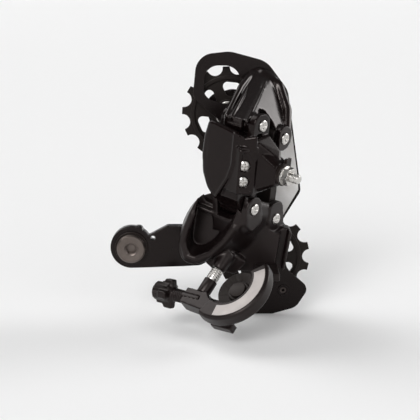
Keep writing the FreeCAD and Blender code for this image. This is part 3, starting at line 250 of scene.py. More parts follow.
def coated(name, colour, rough, grain, grain_depth, worn_share, shine=0.22):
    """Coated, printed or moulded surface: drifting colour, uneven gloss, fine grain and rubbed edges.

    Grain sizes are in millimetres. Real grain is finer, and is drawn this coarse so that it shows.
    """
    material, tree = blank_material(name)
    place = add_node(tree, "ShaderNodeTexCoord").outputs["Object"]
    drift = add_node(tree, "ShaderNodeTexNoise", {"Scale": texture_scale(COLOUR_DRIFT), "Detail": 4.0},
                     {"Vector": place})
    dark, pale = (shade(colour, factor) for factor in COAT_DRIFT)
    tint = add_node(tree, "ShaderNodeMix", {"data_type": "RGBA", MIX_A: dark, MIX_B: pale},
                    {MIX_SHARE: drift.outputs["Fac"]})
    # an edge is where the rounded normal leaves the flat one, and scuffs spare some of the edges
    flat = add_node(tree, "ShaderNodeNewGeometry").outputs["Normal"]
    turned = add_node(tree, "ShaderNodeBevel", {"Radius": EDGE_WIDTH * MM}).outputs["Normal"]
    edge = add_node(tree, "ShaderNodeVectorMath", {"operation": "DOT_PRODUCT"}, {0: flat, 1: turned})
    scuff = add_node(tree, "ShaderNodeTexNoise", {"Scale": texture_scale(SCUFF), "Detail": 4.0},
                     {"Vector": place})
    rub = add_node(tree, "ShaderNodeMath", {"operation": "MULTIPLY_ADD", 1: SCUFF_PUSH},
                   {0: scuff.outputs["Fac"], 2: edge.outputs["Value"]})
    wear = add_node(tree, "ShaderNodeMapRange",
                    {"From Min": WEAR_STARTS, "From Max": WEAR_FULL, "To Max": worn_share},
                    {"Value": rub.outputs["Value"]})
    base = add_node(tree, "ShaderNodeMix",
                    {"data_type": "RGBA", MIX_B: bpy.context.scene.derailleur_colours.rubbed},
                    {MIX_SHARE: wear.outputs["Result"], MIX_A: tint.outputs[MIX_RESULT]})
    smear = add_node(tree, "ShaderNodeTexNoise", {"Scale": texture_scale(SMEAR), "Detail": 3.0},
                     {"Vector": place})
    gloss = add_node(tree, "ShaderNodeMapRange",
                     {"To Min": rough + COAT_GLOSS[0], "To Max": rough + COAT_GLOSS[1]},
                     {"Value": smear.outputs["Fac"]})
    pits = add_node(tree, "ShaderNodeTexNoise", {"Scale": texture_scale(grain), "Detail": 2.0},
                    {"Vector": place})
    bump = add_node(tree, "ShaderNodeBump", {"Strength": GRAIN, "Distance": grain_depth * MM},
                    {"Height": pits.outputs["Fac"]})
    surface = add_node(tree, "ShaderNodeBsdfPrincipled",
                       {"Specular IOR Level": shine, "Specular Tint": WARM_GLOSS},
                       {"Base Color": base.outputs[MIX_RESULT], "Roughness": gloss.outputs["Result"],
                        "Normal": bump.outputs["Normal"]})
    add_node(tree, "ShaderNodeOutputMaterial", links={"Surface": surface.outputs["BSDF"]})
    return material


def plated(name, colour, rough, marks):
    """Bare or plated metal: cloudy plating, uneven polish and tool marks of a size in millimetres."""
    material, tree = blank_material(name)
    place = add_node(tree, "ShaderNodeTexCoord").outputs["Object"]
    cloud = add_node(tree, "ShaderNodeTexNoise", {"Scale": texture_scale(PLATING_CLOUD), "Detail": 5.0},
                     {"Vector": place})
    dark, pale = (shade(colour, factor) for factor in PLATE_DRIFT)
    tint = add_node(tree, "ShaderNodeMix", {"data_type": "RGBA", MIX_A: dark, MIX_B: pale},
                    {MIX_SHARE: cloud.outputs["Fac"]})
    gloss = add_node(tree, "ShaderNodeMapRange",
                     {"To Min": rough + PLATE_GLOSS[0], "To Max": rough + PLATE_GLOSS[1]},
                     {"Value": cloud.outputs["Fac"]})
    lines = add_node(tree, "ShaderNodeTexNoise", {"Scale": texture_scale(marks), "Detail": 3.0},
                     {"Vector": place})
    bump = add_node(tree, "ShaderNodeBump", {"Strength": TOOL_MARKS, "Distance": TOOL_MARK_DEPTH * MM},
                    {"Height": lines.outputs["Fac"]})
    surface = add_node(tree, "ShaderNodeBsdfPrincipled", {"Metallic": 1.0},
                       {"Base Color": tint.outputs[MIX_RESULT], "Roughness": gloss.outputs["Result"],
                        "Normal": bump.outputs["Normal"]})
    add_node(tree, "ShaderNodeOutputMaterial", links={"Surface": surface.outputs["BSDF"]})
    return material


# Finishes: material and process, the function that builds it, its colour setting and its own values
FINISHES = {
    # dipped paint: a thin glossy skin that shows the slight orange peel of the stamping
    "black_steel": ("Stamped steel, black electro-paint", coated, "painted_steel",
                    {"rough": 0.24, "grain": 0.9, "grain_depth": 0.012, "worn_share": 0.45}),
    # eroded mould: a fine even grain that breaks highlights into a satin
    "satin_resin": ("Glass-filled nylon, spark-eroded mould", coated, "satin_nylon",
                    {"rough": 0.34, "grain": 0.5, "grain_depth": 0.012, "worn_share": 0.3, "shine": 0.3}),
    # polished mould: clear long highlights with a faint waviness
    "gloss_resin": ("Nylon, polished mould", coated, "gloss_nylon",
                    {"rough": 0.2, "grain": 2.5, "grain_depth": 0.004, "worn_share": 0.3, "shine": 0.42}),
    # finer polish: a blacker face, with small sharp highlights on its rims
    "link_resin": ("Nylon, mirror-polished mould", coated, "gloss_nylon",
                   {"rough": 0.17, "grain": 2.5, "grain_depth": 0.003, "worn_share": 0.3}),
    # acetal: waxy, soft highlights, teeth paled where the chain runs
    "pulley_resin": ("Acetal, moulded", coated, "acetal",
                     {"rough": 0.4, "grain": 0.6, "grain_depth": 0.02, "worn_share": 0.3}),
    # phosphate: a dry dark crystal coat
    "inner_steel": ("Steel, black phosphate", coated, "phosphate",
                    {"rough": 0.45, "grain": 0.5, "grain_depth": 0.03, "worn_share": 0.4}),
    # black oxide: brownish metal with a dull gleam
    "bolt_black": ("Steel, black oxide", plated, "black_oxide", {"rough": 0.4, "marks": 0.3}),
    # the same oxide on pressed washers: darker, with rims that are rubbed bare
    "collar_black": ("Steel washer, black oxide", coated, "phosphate",
                     {"rough": 0.36, "grain": 0.4, "grain_depth": 0.02, "worn_share": 0.5}),
    # zinc: a bright silver with cloudy patches
    "zinc_steel": ("Steel, bright zinc plate", plated, "zinc", {"rough": 0.26, "marks": 0.4}),
    # drawn wire: duller and greyer under a film of oil
    "spring_steel": ("Spring steel, oiled", plated, "spring_wire", {"rough": 0.35, "marks": 0.5}),
    # silver ink: pale and even, with hardly any gloss
    "silver_ink": ("Printed strip, silver ink", coated, "strip",
                   {"rough": 0.5, "grain": 0.5, "grain_depth": 0.01, "worn_share": 0.0}),
    # pale foil with a soft gloss, painted paler than the real strip, nearly white: the extra paleness is
    # painted light for the shade of the body that the strip stands in
    "foil": ("Printed strip, pale foil", coated, "foil",
             {"rough": 0.4, "grain": 0.5, "grain_depth": 0.01, "worn_share": 0.0, "shine": 0.6}),
}


def finish_of(finish):
    """Material of a finish, made when it is first asked for."""
    name, build, colour, values = FINISHES[finish]
    made = bpy.data.materials.get(name)
    return made or build(name, getattr(bpy.context.scene.derailleur_colours, colour), **values)


def dress(thing, finish):
    """Gives a piece or node one finish."""
    thing.data.materials.clear()
    thing.data.materials.append(finish_of(finish))


# CAD nodes: gap that is welded, turn up to which faces are one, and turn and segments of a rounded edge
WELD_GAP = 0.0005 * MM
FLAT_TURN = math.radians(0.5)
EDGE_TURN = math.radians(40)
EDGE_SEGMENTS = 3


def cad_node(name, rounding, finish=None):
    """Keeps a CAD node, with its finish and a broken edge."""
    thing = frame["nodes"][name]
    dress(thing, finish or CAD_SLOTS[name])
    weld = thing.modifiers.new("Weld", "WELD")
    weld.merge_threshold = WELD_GAP
    flat = thing.modifiers.new("Flat", "DECIMATE")
    flat.decimate_type = "DISSOLVE"
    flat.angle_limit = FLAT_TURN
    if rounding:
        bevel = thing.modifiers.new("Edge", "BEVEL")
        bevel.width = rounding
        bevel.segments = EDGE_SEGMENTS
        bevel.limit_method = "ANGLE"
        bevel.angle_limit = EDGE_TURN
        bevel.use_clamp_overlap = True
        bevel.harden_normals = True


def turns(steps):
    """Angles of a full turn in equal steps."""
    return [2 * math.pi * j / steps for j in range(steps)]


def around(radius, turn, height):
    """Point at a radius, angle and height about local z."""
    return Vector((radius * math.cos(turn), radius * math.sin(turn), height))


def add_rings(form, place, rings):
    """Adds rings of points, joined each to the next, and returns their vertices."""
    loops = [[form.verts.new(place @ point) for point in ring] for ring in rings]
    for inner, outer in zip(loops, loops[1:]):
        for j in range(len(inner)):
            form.faces.new((inner[j - 1], inner[j], outer[j], outer[j - 1]))
    return loops


def smooth_mesh(form, name):
    """Mesh of a finished bmesh, smooth and with its faces turned outwards."""
    bmesh.ops.recalc_face_normals(form, faces=form.faces)
    mesh = bpy.data.meshes.new(name)
    form.to_mesh(mesh)
    form.free()
    mesh.shade_smooth()
    return mesh


def add_piece(form, name, node, finish=None):
    """Turns a bmesh into a piece that rides on a node's body."""
    piece = bpy.data.objects.new(name, smooth_mesh(form, name))
    bpy.context.scene.collection.objects.link(piece)
    dress(piece, finish or CAD_SLOTS[node])
    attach(piece, frame["nodes"][node]["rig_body"])
    return piece


def link_spot(x, y, z):
    """Point given in the link frame, in millimetres."""
    return LINK_PLACE @ (Vector((x, y, z)) * MM)


def link_ball(x, y, z, radius):
    """Ball given in the link frame, in millimetres."""
    return link_spot(x, y, z), radius * MM


def ball(x, y, z, radius):
    """Ball given in the part's own frame, in millimetres."""
    return Vector((x, y, z)) * MM, radius * MM


def rail(balls):
    """Rounded bar through a row of balls, as one hull per stretch."""
    return list(zip(balls, balls[1:]))


def add_hull(form, balls):
    """Adds the closed skin round a set of balls, each a centre and a radius."""
    verts = []
    for centre, radius in balls:
        skin = bmesh.new()
        bmesh.ops.create_icosphere(skin, subdivisions=2, radius=radius)
        verts += [form.verts.new(centre + vert.co) for vert in skin.verts]
        skin.free()
    made = bmesh.ops.convex_hull(form, input=verts)
    inside = {item for key in ("geom_interior", "geom_unused") for item in made[key]
              if isinstance(item, bmesh.types.BMVert)}
    bmesh.ops.delete(form, geom=list(inside), context="VERTS")


# Moulded bodies: gap that is welded, and share of its way that a point moves in one pass of smoothing
MERGE_GAP = 0.001 * MM
FLOW = 0.5


def bake(piece):
    """Applies a new piece's modifiers to its mesh."""
    bpy.context.view_layer.update()
    graph = bpy.context.evaluated_depsgraph_get()
    piece.data = bpy.data.meshes.new_from_object(piece.evaluated_get(graph))
    piece.modifiers.clear()


def soft_group(piece, start, end, reach):
    """Group of the points near a stretch, which fades out with their distance from it."""
    group = piece.vertex_groups.new(name="Soft")
    run = end - start
    for vertex in piece.data.vertices:
        share = max(0.0, min(1.0, (vertex.co - start).dot(run) / run.length_squared))
        away = (vertex.co - start - run * share).length
        if away < reach:
            group.add((vertex.index,), 1.0 - (away / reach) ** 2, "REPLACE")
    return group.name


def soften(piece, passes, group=""):
    """Smooths a piece, all over or within a group of its points."""
    flow = piece.modifiers.new("Flow", "SMOOTH")
    flow.factor = FLOW
    flow.iterations = passes
    flow.vertex_group = group


def moulded(node, grid, passes, soft_spots=(), fills=(), finish=None):
    """New piece for a moulded CAD node and its fills, with its edges flowing into each other.

    A soft spot is a stretch's start and end, its reach and its own passes of smoothing.
    """
    source = frame["nodes"][node]
    form = bmesh.new()
    form.from_mesh(source.data)
    bmesh.ops.remove_doubles(form, verts=form.verts, dist=MERGE_GAP)
    for balls in fills:
        add_hull(form, balls)
    mesh = bpy.data.meshes.new(node + "_filled")
    form.to_mesh(mesh)
    form.free()
    piece = bpy.data.objects.new(node + "_moulded", mesh)
    bpy.context.scene.collection.objects.link(piece)
    fuse = piece.modifiers.new("Grid", "REMESH")
    fuse.mode = "VOXEL"
    fuse.voxel_size = grid
    bake(piece)
    soften(piece, passes)
    for start, end, reach, spot_passes in soft_spots:
        soften(piece, spot_passes, soft_group(piece, start, end, reach))
    bake(piece)
    piece.vertex_groups.clear()
    piece.data.name = piece.name
    piece.data.shade_smooth()
    dress(piece, finish or CAD_SLOTS[node])
    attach(piece, source["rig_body"])
    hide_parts(node)


def link_soft_spots():
    """The left edge of the link's polished face, which rolls over."""
    reach, passes = 5.0, 40
    return [(link_spot(-14.0, 46.0, -26.0), link_spot(-14.0, 13.0, -26.0), reach * MM, passes)]


def link_fills():
    """Rolled rims of the link's face, the rim of its screw plate, and the saddle up to its front ear."""
    face, roll_r, seam_r, seam_sink, rim_r = -14.5, 2.1, 0.8, 0.2, 0.9
    # the left edge bows out and rolls back, and a seam parts the face from the screw plate: up and across
    bow = ((45.4, -24.8), (38.0, -26.6), (28.0, -27.2), (18.0, -26.0), (11.0, -22.4), (6.4, -17.6))
    roll = rail([link_ball(face + roll_r, y, z, roll_r) for y, z in bow])
    parting = ((44.0, -7.2), (27.0, -7.2), (19.0, -9.6), (6.5, -16.4))
    seam = rail([link_ball(face + seam_sink, y, z, seam_r) for y, z in parting])
    # the screw plate's face slants back from its left edge: along the slant and up
    slant_x, slant_z, slant_start = 0.742, 0.671, -3.2
    plate = ((0.9, 12.4), (8.8, 12.4), (8.8, 29.2), (4.8, 35.4), (0.9, 35.4))
    corners = [link_ball(face + slant_x * along, y, slant_start + slant_z * along, rim_r)
               for along, y in plate]
    rim = rail(corners + corners[:1])
    ridge = [link_ball(x, y, z, 1.2) for z in (-22.0, -4.5)
             for x, y in ((-12.0, 36.5), (-7.4, 36.5), (-7.4, 38.4), (-9.6, 40.4), (-12.0, 42.6))]
    shoulder = [link_ball(-11.4, 36.4, -3.0, 1.2), link_ball(-8.0, 36.4, 2.0, 1.2),
                link_ball(-7.6, 43.0, 1.8, 1.0), link_ball(-11.4, 41.0, -4.6, 1.0)]
    slope = [link_ball(5.0, 36.2, 1.6, 1.6), link_ball(-6.0, 36.2, 1.6, 1.6), link_ball(4.6, 41.0, 0.6, 1.4),
             link_ball(-6.0, 40.0, 0.6, 1.4), link_ball(5.6, 34.0, 8.0, 1.4), link_ball(2.6, 31.0, 10.0, 1.4)]
    return roll + seam + rim + [ridge, shoulder, slope]


def hood_soft_spots():
    """The hood's top, as one rounded dome."""
    reach, passes = 8.0, 110
    stretches = (((69.6, 1.0, 101.0), (80.6, 1.0, 101.0)), ((80.6, 1.0, 101.0), (89.8, -2.0, 88.0)),
                 ((80.6, 0.0, 101.0), (77.0, -8.0, 97.0)))
    return [(Vector(start) * MM, Vector(end) * MM, reach * MM, passes) for start, end in stretches]


def hood_fills():
    """Rims, fold, crest and lip of the plate body's hood."""
    left = rail([ball(54.6, -35.4, 80.0, 1.6), ball(62.6, -15.0, 93.4, 1.8), ball(69.8, 1.8, 100.8, 1.8)])
    fold = rail([ball(57.2, -38.2, 79.8, 1.2), ball(63.0, -24.6, 88.4, 0.9), ball(66.8, -14.0, 94.0, 0.3)])
    crest = rail([ball(65.0, -44.2, 77.8, 1.1), ball(70.4, -29.0, 86.0, 1.0), ball(77.4, -7.0, 97.2, 0.6)])
    right = rail([ball(76.0, 0.6, 100.6, 2.2), ball(84.8, -1.6, 93.8, 2.8), ball(88.6, -9.0, 80.0, 3.0),
                  ball(88.2, -17.0, 66.0, 2.6)])
    lip = rail([link_ball(-7.9, 46.4, -17.4, 0.8), link_ball(-7.9, 46.4, -9.2, 0.8)])
    return left + fold + crest + right + lip


def bracket_soft_spots():
    """The front ear's root and the screw's boss, which run out into the bracket."""
    ear_reach, ear_passes = 10.0, 260
    # the boss reaches on from the screw's end by most of the screw's own length
    boss_share, boss_reach, boss_passes = 0.9, 8.0, 90
    boss_end = SCREW_TOP + SCREW_RUN * boss_share
    return [(link_spot(0.5, -9.0, -1.5), link_spot(0.5, -17.0, -1.5), ear_reach * MM, ear_passes),
            (SCREW_TOP * MM, boss_end * MM, boss_reach * MM, boss_passes)]


def bracket_fills():
    """Step across the scoop, and the bead along its rim."""
    # from the left wall past the back ear's post to the right wall
    post = [link_ball(x, y, z, 1.0) for x, y in ((-6.0, -8.6), (-3.6, -17.0), (7.0, -17.0), (7.0, -8.6))
            for z in (-23.2, -8.0)]
    step_depth = 8.0
    step = [ball(x, y, z, 1.2) for x, z, front in ((47.8, 23.6, -21.2), (39.4, 26.6, -18.4))
            for y in (front, front + step_depth)]
    # the rim leans outboard to the right: its front at the left end, and how far it leans
    rim_left, rim_front, rim_lean, bead_inset, bead_r = 28.2, -23.0, 0.37, 1.1, 2.3
    rim = ((36.0, 24.0), (32.4, 15.0), (30.4, 7.4), (32.4, -0.6), (38.2, -1.9), (46.2, 2.0), (53.8, 10.0),
           (59.0, 18.0))
    bead = rail([ball(x, rim_front - rim_lean * (x - rim_left) + bead_inset, z, bead_r) for x, z in rim])
    return [post, step] + bead


def barrel_fills():
    """Wings round the arm's end of the barrel's head."""
    count, first_turn, half_width, wing_r = 4, 40, 1.3, 0.9
    # reach from the axis and height along it
    outline = ((3.0, 6.0), (3.0, 12.6), (7.4, 8.0), (7.4, 12.2))
    wings = []
    for i in range(count):
        spin = BARREL_PLACE @ Matrix.Rotation(math.radians(first_turn + 360 / count * i), 4, "Z")
        wings.append([(spin @ (Vector((reach, side, height)) * MM), wing_r * MM)
                      for side in (-half_width, half_width) for reach, height in outline])
    return wings


class DERAILLEUR_OT_moulded_bodies(bpy.types.Operator):
    """Bracket body, outer link, plate body, cable housing and barrel with moulded edges"""

    bl_idname = "derailleur.moulded_bodies"
    bl_label = "Moulded Bodies"

    def execute(self, context):
        grid = context.scene.derailleur_sizes.mould_grid
        moulded("outer_link", grid, passes=7, soft_spots=link_soft_spots(), fills=link_fills(),
                finish="link_resin")
        moulded("plate_body", grid, passes=6, soft_spots=hood_soft_spots(), fills=hood_fills())
        moulded("bracket_body", grid, passes=8, soft_spots=bracket_soft_spots(), fills=bracket_fills())
        moulded("direction_housing", grid, passes=8)
        moulded("barrel_adjuster", grid, passes=3, fills=barrel_fills())
        return {"FINISHED"}


# Edge rounding of plates and of small turned pieces, as shares of the usual one
PLATE_ROUND, TURNED_ROUND = 1.4, 0.6


class DERAILLEUR_OT_plates(bpy.types.Operator):
    """Cage plates, hanger plate and inner link, with stamped edges"""

    bl_idname = "derailleur.plates"
    bl_label = "Stamped Plates"

    def execute(self, context):
        rounding = context.scene.derailleur_sizes.edge_round
        for name in ("outer_cage_plate", "inner_cage_plate", "hanger_plate", "inner_link"):
            cad_node(name, rounding * PLATE_ROUND)
        return {"FINISHED"}


class DERAILLEUR_OT_pulleys(bpy.types.Operator):
    """Guide and tension pulleys, their bushes and caps, and the cable wheel"""

    bl_idname = "derailleur.pulleys"
    bl_label = "Pulleys"

    def execute(self, context):
        rounding = context.scene.derailleur_sizes.edge_round
        for name in ("guide_pulley", "tension_pulley", "direction_pulley", "guide_bush", "tension_bush",
                     "guide_dust_caps", "tension_dust_caps"):
            cad_node(name, rounding)
        return {"FINISHED"}


class DERAILLEUR_OT_fasteners(bpy.types.Operator):
    """Bolts, screws, pins, rivets, dark washers and springs"""

    bl_idname = "derailleur.fasteners"
    bl_label = "Fasteners and Springs"

    def execute(self, context):
        rounding = context.scene.derailleur_sizes.edge_round
        for name in ("mounting_bolt", "retaining_ring", "hanger_rivets", "low_limit_screw",
                     "high_limit_screw", "clamp_bolt", "clamp_nut", "cage_axle", "cage_stop_pin",
                     "guide_bolt", "tension_bolt", "housing_screw", "spacer_sleeve", "lower_outer_pin",
                     "lower_inner_pin", "upper_outer_pin", "upper_inner_pin"):
            cad_node(name, rounding * TURNED_ROUND)
        for name in ("bolt_collar", "direction_axle", "clamp_plate"):
            cad_node(name, rounding, "collar_black")
        for name in ("cage_spring", "link_spring"):
            cad_node(name, None)
        return {"FINISHED"}


# Threads: steps in a turn, turns of run-out at each end, how far the root lies below the core as a share
# of the ridge's height, and half widths of root and crest as shares of the pitch
THREAD_STEPS = 40
THREAD_RUN_OUT = 0.25
THREAD_SINK = 0.4
THREAD_ROOT, THREAD_CREST = 0.48, 0.1


def thread(name, node, place, radius, start, end, pitch, depth):
    """Screw thread: a ridge wound about local z of the place, run out at both ends."""
    count = int((end - start - pitch) / pitch * THREAD_STEPS)
    fade = THREAD_STEPS * THREAD_RUN_OUT
    root = radius - depth * THREAD_SINK
    sections = []
    for i in range(count + 1):
        turn = 2 * math.pi * i / THREAD_STEPS
        height = start + pitch / 2 + pitch * i / THREAD_STEPS
        crest = radius + depth * min(1.0, i / fade, (count - i) / fade)
        section = ((root, -THREAD_ROOT), (crest, -THREAD_CREST), (crest, THREAD_CREST), (root, THREAD_ROOT))
        sections.append([around(r, turn, height + share * pitch) for r, share in section])
    form = bmesh.new()
    loops = add_rings(form, place, sections)
    form.faces.new(loops[0])
    form.faces.new(loops[-1])
    add_piece(form, name, node)


class DERAILLEUR_OT_threads(bpy.types.Operator):
    """Threads on the barrel, the clamp bolt, the housing screw and the mounting bolt"""

    bl_idname = "derailleur.threads"
    bl_label = "Threads"

    def execute(self, context):
        depth = context.scene.derailleur_sizes.thread_depth
        # the clamp bolt runs along the pins through the link's nose
        nose = Vector((2.7, 23.8, 0.0)) * MM
        clamp = LINK_PLACE @ Matrix.Translation(nose)
        screw = axes(SCREW_FOOT * MM, SCREW_RUN, SIDEWAYS)
        # place, core radius, start, end and pitch in millimetres, and share of the usual depth
        for name, node, place, radius, start, end, pitch, share in (
                ("barrel_thread", "barrel_adjuster", BARREL_PLACE, 3.4, 14.0, 22.0, 1.25, 1.0),
                ("clamp_thread", "clamp_bolt", clamp, 2.4, 19.5, 24.6, 0.9, 0.7),
                ("housing_screw_ribs", "housing_screw", screw, 3.1, 8.6, SCREW_RUN.length, 1.2, 1.0),
                ("mounting_thread", "mounting_bolt", SIDE_PLACE, 4.9, -10.6, -0.4, 1.0, 1.0)):
            thread(name, node, place, radius * MM, start * MM, end * MM, pitch * MM, depth * share)
        return {"FINISHED"}


def riveted_end(name, node, at, radius):
    """Spread end of a pivot pin: a flat dome with a pressed star."""
    rings, steps, points = 16, 60, 5
    top, base, sink = 1.15 * MM, 0.05 * MM, 0.45 * MM
    star_in, star_out, star_wall, star_taper = 0.9 * MM, 2.3 * MM, 0.5 * MM, 1.5
    rim_curve, rim_drop = 6, 0.55

    def height(r, turn):
        wave = 0.5 + 0.5 * math.cos(points * turn)
        star = star_in + (star_out - star_in) * wave ** star_taper
        pressed = max(0.0, min(1.0, (star - r) / star_wall))
        crown = 1.0 - (r / radius) ** rim_curve * rim_drop
        return base + (top - base) * crown - sink * pressed

    radii = [radius * (i + 1) / rings for i in range(rings)]
    dome = [[around(r, turn, height(r, turn)) for turn in turns(steps)] for r in radii]
    foot = [around(radius, turn, base) for turn in turns(steps)]
    place = LINK_PLACE @ Matrix.Translation(at)
    form = bmesh.new()
    loops = add_rings(form, place, dome + [foot])
    middle = form.verts.new(place @ Vector((0, 0, top - sink)))
    for j in range(steps):
        form.faces.new((middle, loops[0][j - 1], loops[0][j]))
    form.faces.new(loops[-1])
    add_piece(form, name, node)


class DERAILLEUR_OT_pin_ends(bpy.types.Operator):
    """Riveted ends of the four pivot pins"""

    bl_idname = "derailleur.pin_ends"
    bl_label = "Pin Ends"

    def execute(self, context):
        radius = context.scene.derailleur_sizes.pin_head
        to_link = LINK_PLACE.to_3x3().inverted()
        up = to_link @ LINK_RUN
        aside = to_link @ LINK_OFFSET
        for node, at in (("lower_outer_pin", Vector()), ("lower_inner_pin", aside),
                         ("upper_outer_pin", up), ("upper_inner_pin", up + aside)):
            riveted_end(node + "_end", node, Vector((at.x, at.y, 0)), radius)
        return {"FINISHED"}


def raised_patch(name, node, place, outline, thick, finish):
    """Thin flat patch over a face, from (x, y) points in millimetres."""
    form = bmesh.new()
    face = form.faces.new([form.verts.new(Vector((x, y, 0)) * MM) for x, y in outline])
    solid = bmesh.ops.extrude_face_region(form, geom=[face])
    upper = [item for item in solid["geom"] if isinstance(item, bmesh.types.BMVert)]
    bmesh.ops.translate(form, verts=upper, vec=Vector((0, 0, thick)))
    bmesh.ops.transform(form, matrix=place, verts=form.verts)
    piece = add_piece(form, name, node, finish)
    piece.data.shade_flat()


class DERAILLEUR_OT_strips(bpy.types.Operator):
    """Bare pale strips on the cable shroud and along the cage plate, the cage plate's one painted paler still
    as painted light for the shade of the body
    """

    bl_idname = "derailleur.strips"
    bl_label = "Printed Strips"

    def execute(self, context):
        thick = context.scene.derailleur_sizes.strip_thick
        first, last, inner, outer, steps = -86, 36, 15.2, 21.6, 60
        sweep = [math.radians(first + (last - first) * i / steps) for i in range(steps + 1)]
        arc = [(outer * math.cos(turn), outer * math.sin(turn)) for turn in sweep]
        arc += [(inner * math.cos(turn), inner * math.sin(turn)) for turn in reversed(sweep)]
        face = SHROUD_PLACE @ Matrix.Translation((0, 0, SHROUD_FACE))
        raised_patch("shroud_strip", "direction_housing", face, arc, thick, "silver_ink")
        # the cage strip's finish is partly the strip's own pale colour, partly painted light for the shade of
        # the body
        edge = ((82.0, 84.0), (90.4, 84.0), (96.8, 39.0), (97.3, 32.0), (88.6, 16.6), (81.0, 20.0),
                (84.0, 40.0))
        raised_patch("cage_strip", "outer_cage_plate", CAGE_PLACE, edge, thick, "foil")
        return {"FINISHED"}


class DERAILLEUR_OT_dimple(bpy.types.Operator):
    """Pressed dimple at the lower end of the cage plate"""

    bl_idname = "derailleur.dimple"
    bl_label = "Cage Dimple"

    def execute(self, context):
        steps = 48
        middle = Vector((89.4, -29.3, 0.0)) * MM
        # radius, and height over the plate's face
        profile = ((3.6, -0.05), (3.3, 0.3), (2.8, 0.45), (2.3, 0.35), (1.8, 0.1), (0.9, 0.0))
        rings = [[around(radius, turn, height) * MM for turn in turns(steps)] for radius, height in profile]
        form = bmesh.new()
        loops = add_rings(form, CAGE_PLACE @ Matrix.Translation(middle), rings)
        form.faces.new(loops[0])
        form.faces.new(loops[-1])
        add_piece(form, "cage_dimple", "outer_cage_plate")
        return {"FINISHED"}


# Soft boxes of the studio: direction to the box, half angles of its edge and core in degrees, and brightness
SOFT_BOXES = (
    ((-0.60, 0.34, 0.72), 28, 14, 2.9),
    ((0.90, 0.28, 0.33), 22, 10, 6.0),
    ((0.58, -0.78, 0.22), 30, 14, 1.6),
)
# Brightness of the sky at the horizon and overhead
SKY_LOW, SKY_HIGH = 0.04, 0.16
# Key lamp: strength, width in degrees and the way that its light goes
KEY_STRENGTH = 1.9
KEY_WIDTH = 28
KEY_WAY = Vector((0.338, 0.797, -0.55))
# Paper floor: distance from the part and height in metres, sides of the sheet, and gap under the part
FLOOR_RISE = ((2.0, 0.0), (4.0, 0.02), (7.0, 0.16), (11.0, 0.6), (16.0, 2.4))
FLOOR_STEPS = 64
FLOOR_GAP = 0.2 * MM
# Camera: place in metres, turn up from straight down in degrees, sensor in millimetres and nearest view
# in metres
CAMERA_SPOT = (0.0456, -0.5431, 0.1363)
CAMERA_TURN = 78
CAMERA_SENSOR = 36
CAMERA_NEAR = 0.01


def add_floor(scene):
    """Sheet of paper under the part, which rises far away."""
    rings = [[around(reach, turn, rise) for turn in turns(FLOOR_STEPS)] for reach, rise in FLOOR_RISE]
    form = bmesh.new()
    loops = add_rings(form, Matrix(), rings)
    form.faces.new(loops[0])
    floor = bpy.data.objects.new("floor", smooth_mesh(form, "floor"))
    floor.location.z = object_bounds()[0].z - FLOOR_GAP
    scene.collection.objects.link(floor)
    floor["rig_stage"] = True
    # matt paper: no gloss, and a fibre cloud too faint to see on its own
    material, tree = blank_material("Paper, seamless matt")
    place = add_node(tree, "ShaderNodeTexCoord").outputs["Object"]
    fibre = add_node(tree, "ShaderNodeTexNoise", {"Scale": texture_scale(PAPER_CLOUD)}, {"Vector": place})
    dark, pale = (shade(scene.derailleur_colours.backdrop, factor) for factor in PAPER_DRIFT)
    tint = add_node(tree, "ShaderNodeMix", {"data_type": "RGBA", MIX_A: dark, MIX_B: pale},
                    {MIX_SHARE: fibre.outputs["Fac"]})
    surface = add_node(tree, "ShaderNodeBsdfDiffuse", links={"Color": tint.outputs[MIX_RESULT]})
    add_node(tree, "ShaderNodeOutputMaterial", links={"Surface": surface.outputs["BSDF"]})
    floor.data.materials.append(material)


def add_light(scene):
    """Dim sky with soft boxes in it, and a broad key lamp."""
    world = bpy.data.worlds.new("studio")
    world.use_nodes = True
    tree = world.node_tree
    tree.nodes.clear()
    way = add_node(tree, "ShaderNodeTexCoord").outputs["Generated"]
    height = add_node(tree, "ShaderNodeSeparateXYZ", links={0: way}).outputs["Z"]
    sky = add_node(tree, "ShaderNodeMapRange", {"To Min": SKY_LOW, "To Max": SKY_HIGH}, {"Value": height})
    total = sky.outputs["Result"]
    for direction, edge, core, level in SOFT_BOXES:
        aim = add_node(tree, "ShaderNodeVectorMath",
                       {"operation": "DOT_PRODUCT", 1: Vector(direction).normalized()}, {0: way})
        box = add_node(tree, "ShaderNodeMapRange",
                       {"interpolation_type": "SMOOTHSTEP", "From Min": math.cos(math.radians(edge)),
                        "From Max": math.cos(math.radians(core)), "To Max": level},
                       {"Value": aim.outputs["Value"]})
        total = add_node(tree, "ShaderNodeMath", {"operation": "ADD"},
                         {0: total, 1: box.outputs["Result"]}).outputs["Value"]
    lit = add_node(tree, "ShaderNodeBackground", {"Color": linear("#ffffff")}, {"Strength": total})
    add_node(tree, "ShaderNodeOutputWorld", links={"Surface": lit.outputs["Background"]})
    scene.world = world

    sun = bpy.data.lights.new("key", "SUN")
    sun.energy = KEY_STRENGTH
    sun.angle = math.radians(KEY_WIDTH)
    lamp = bpy.data.objects.new("key", sun)
    lamp.rotation_mode = "QUATERNION"
    lamp.rotation_quaternion = KEY_WAY.to_track_quat("-Z", "Y")
    scene.collection.objects.link(lamp)


def add_camera(scene):
    """Camera at the photograph's viewing angle."""
    camera = bpy.data.cameras.new("camera")
    camera.lens = scene.derailleur_sizes.lens
    camera.sensor_width = CAMERA_SENSOR
    camera.clip_start = CAMERA_NEAR
    eye = bpy.data.objects.new("camera", camera)
    eye.location = CAMERA_SPOT
    eye.rotation_euler = (math.radians(CAMERA_TURN), 0, 0)
    scene.collection.objects.link(eye)
    scene.camera = eye


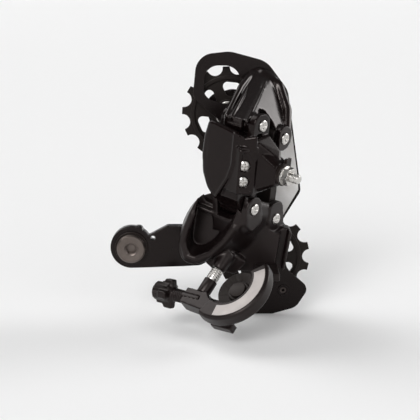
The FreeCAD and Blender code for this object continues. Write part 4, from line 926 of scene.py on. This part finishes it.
class DERAILLEUR_OT_stage(bpy.types.Operator):
    """Floor, soft studio light and the camera"""

    bl_idname = "derailleur.stage"
    bl_label = "Stage"

    def execute(self, context):
        add_floor(context.scene)
        add_light(context.scene)
        add_camera(context.scene)
        context.scene.view_settings.view_transform = "Standard"
        return {"FINISHED"}


class DERAILLEUR_PT_panel(bpy.types.Panel):
    """Lists the pieces and their settings"""

    bl_idname = "DERAILLEUR_PT_panel"
    bl_label = "Rear Derailleur"
    bl_space_type = "VIEW_3D"
    bl_region_type = "UI"
    bl_category = "Derailleur"

    def draw(self, context):
        for operator in OPERATORS:
            self.layout.operator(operator.bl_idname)
        for group in (context.scene.derailleur_colours, context.scene.derailleur_sizes):
            for name in group.bl_rna.properties.keys():
                if name not in ("rna_type", "name"):
                    self.layout.prop(group, name)


OPERATORS = (
    DERAILLEUR_OT_moulded_bodies, DERAILLEUR_OT_plates, DERAILLEUR_OT_pulleys, DERAILLEUR_OT_fasteners,
    DERAILLEUR_OT_threads, DERAILLEUR_OT_pin_ends, DERAILLEUR_OT_strips, DERAILLEUR_OT_dimple,
    DERAILLEUR_OT_stage,
)
CLASSES = (DerailleurColours, DerailleurSizes, *OPERATORS, DERAILLEUR_PT_panel)


def register():
    """Registers the classes and hangs the settings on the scene."""
    for item in CLASSES:
        bpy.utils.register_class(item)
    bpy.types.Scene.derailleur_colours = bpy.props.PointerProperty(type=DerailleurColours)
    bpy.types.Scene.derailleur_sizes = bpy.props.PointerProperty(type=DerailleurSizes)


def unregister():
    """Takes the settings and the classes away again."""
    del bpy.types.Scene.derailleur_sizes
    del bpy.types.Scene.derailleur_colours
    for item in reversed(CLASSES):
        bpy.utils.unregister_class(item)


def main():
    """Builds the scene."""
    register()
    bpy.ops.derailleur.moulded_bodies()
    bpy.ops.derailleur.plates()
    bpy.ops.derailleur.pulleys()
    bpy.ops.derailleur.fasteners()
    bpy.ops.derailleur.threads()
    bpy.ops.derailleur.pin_ends()
    bpy.ops.derailleur.strips()
    bpy.ops.derailleur.dimple()
    bpy.ops.derailleur.stage()


if __name__ == "__main__":
    main()
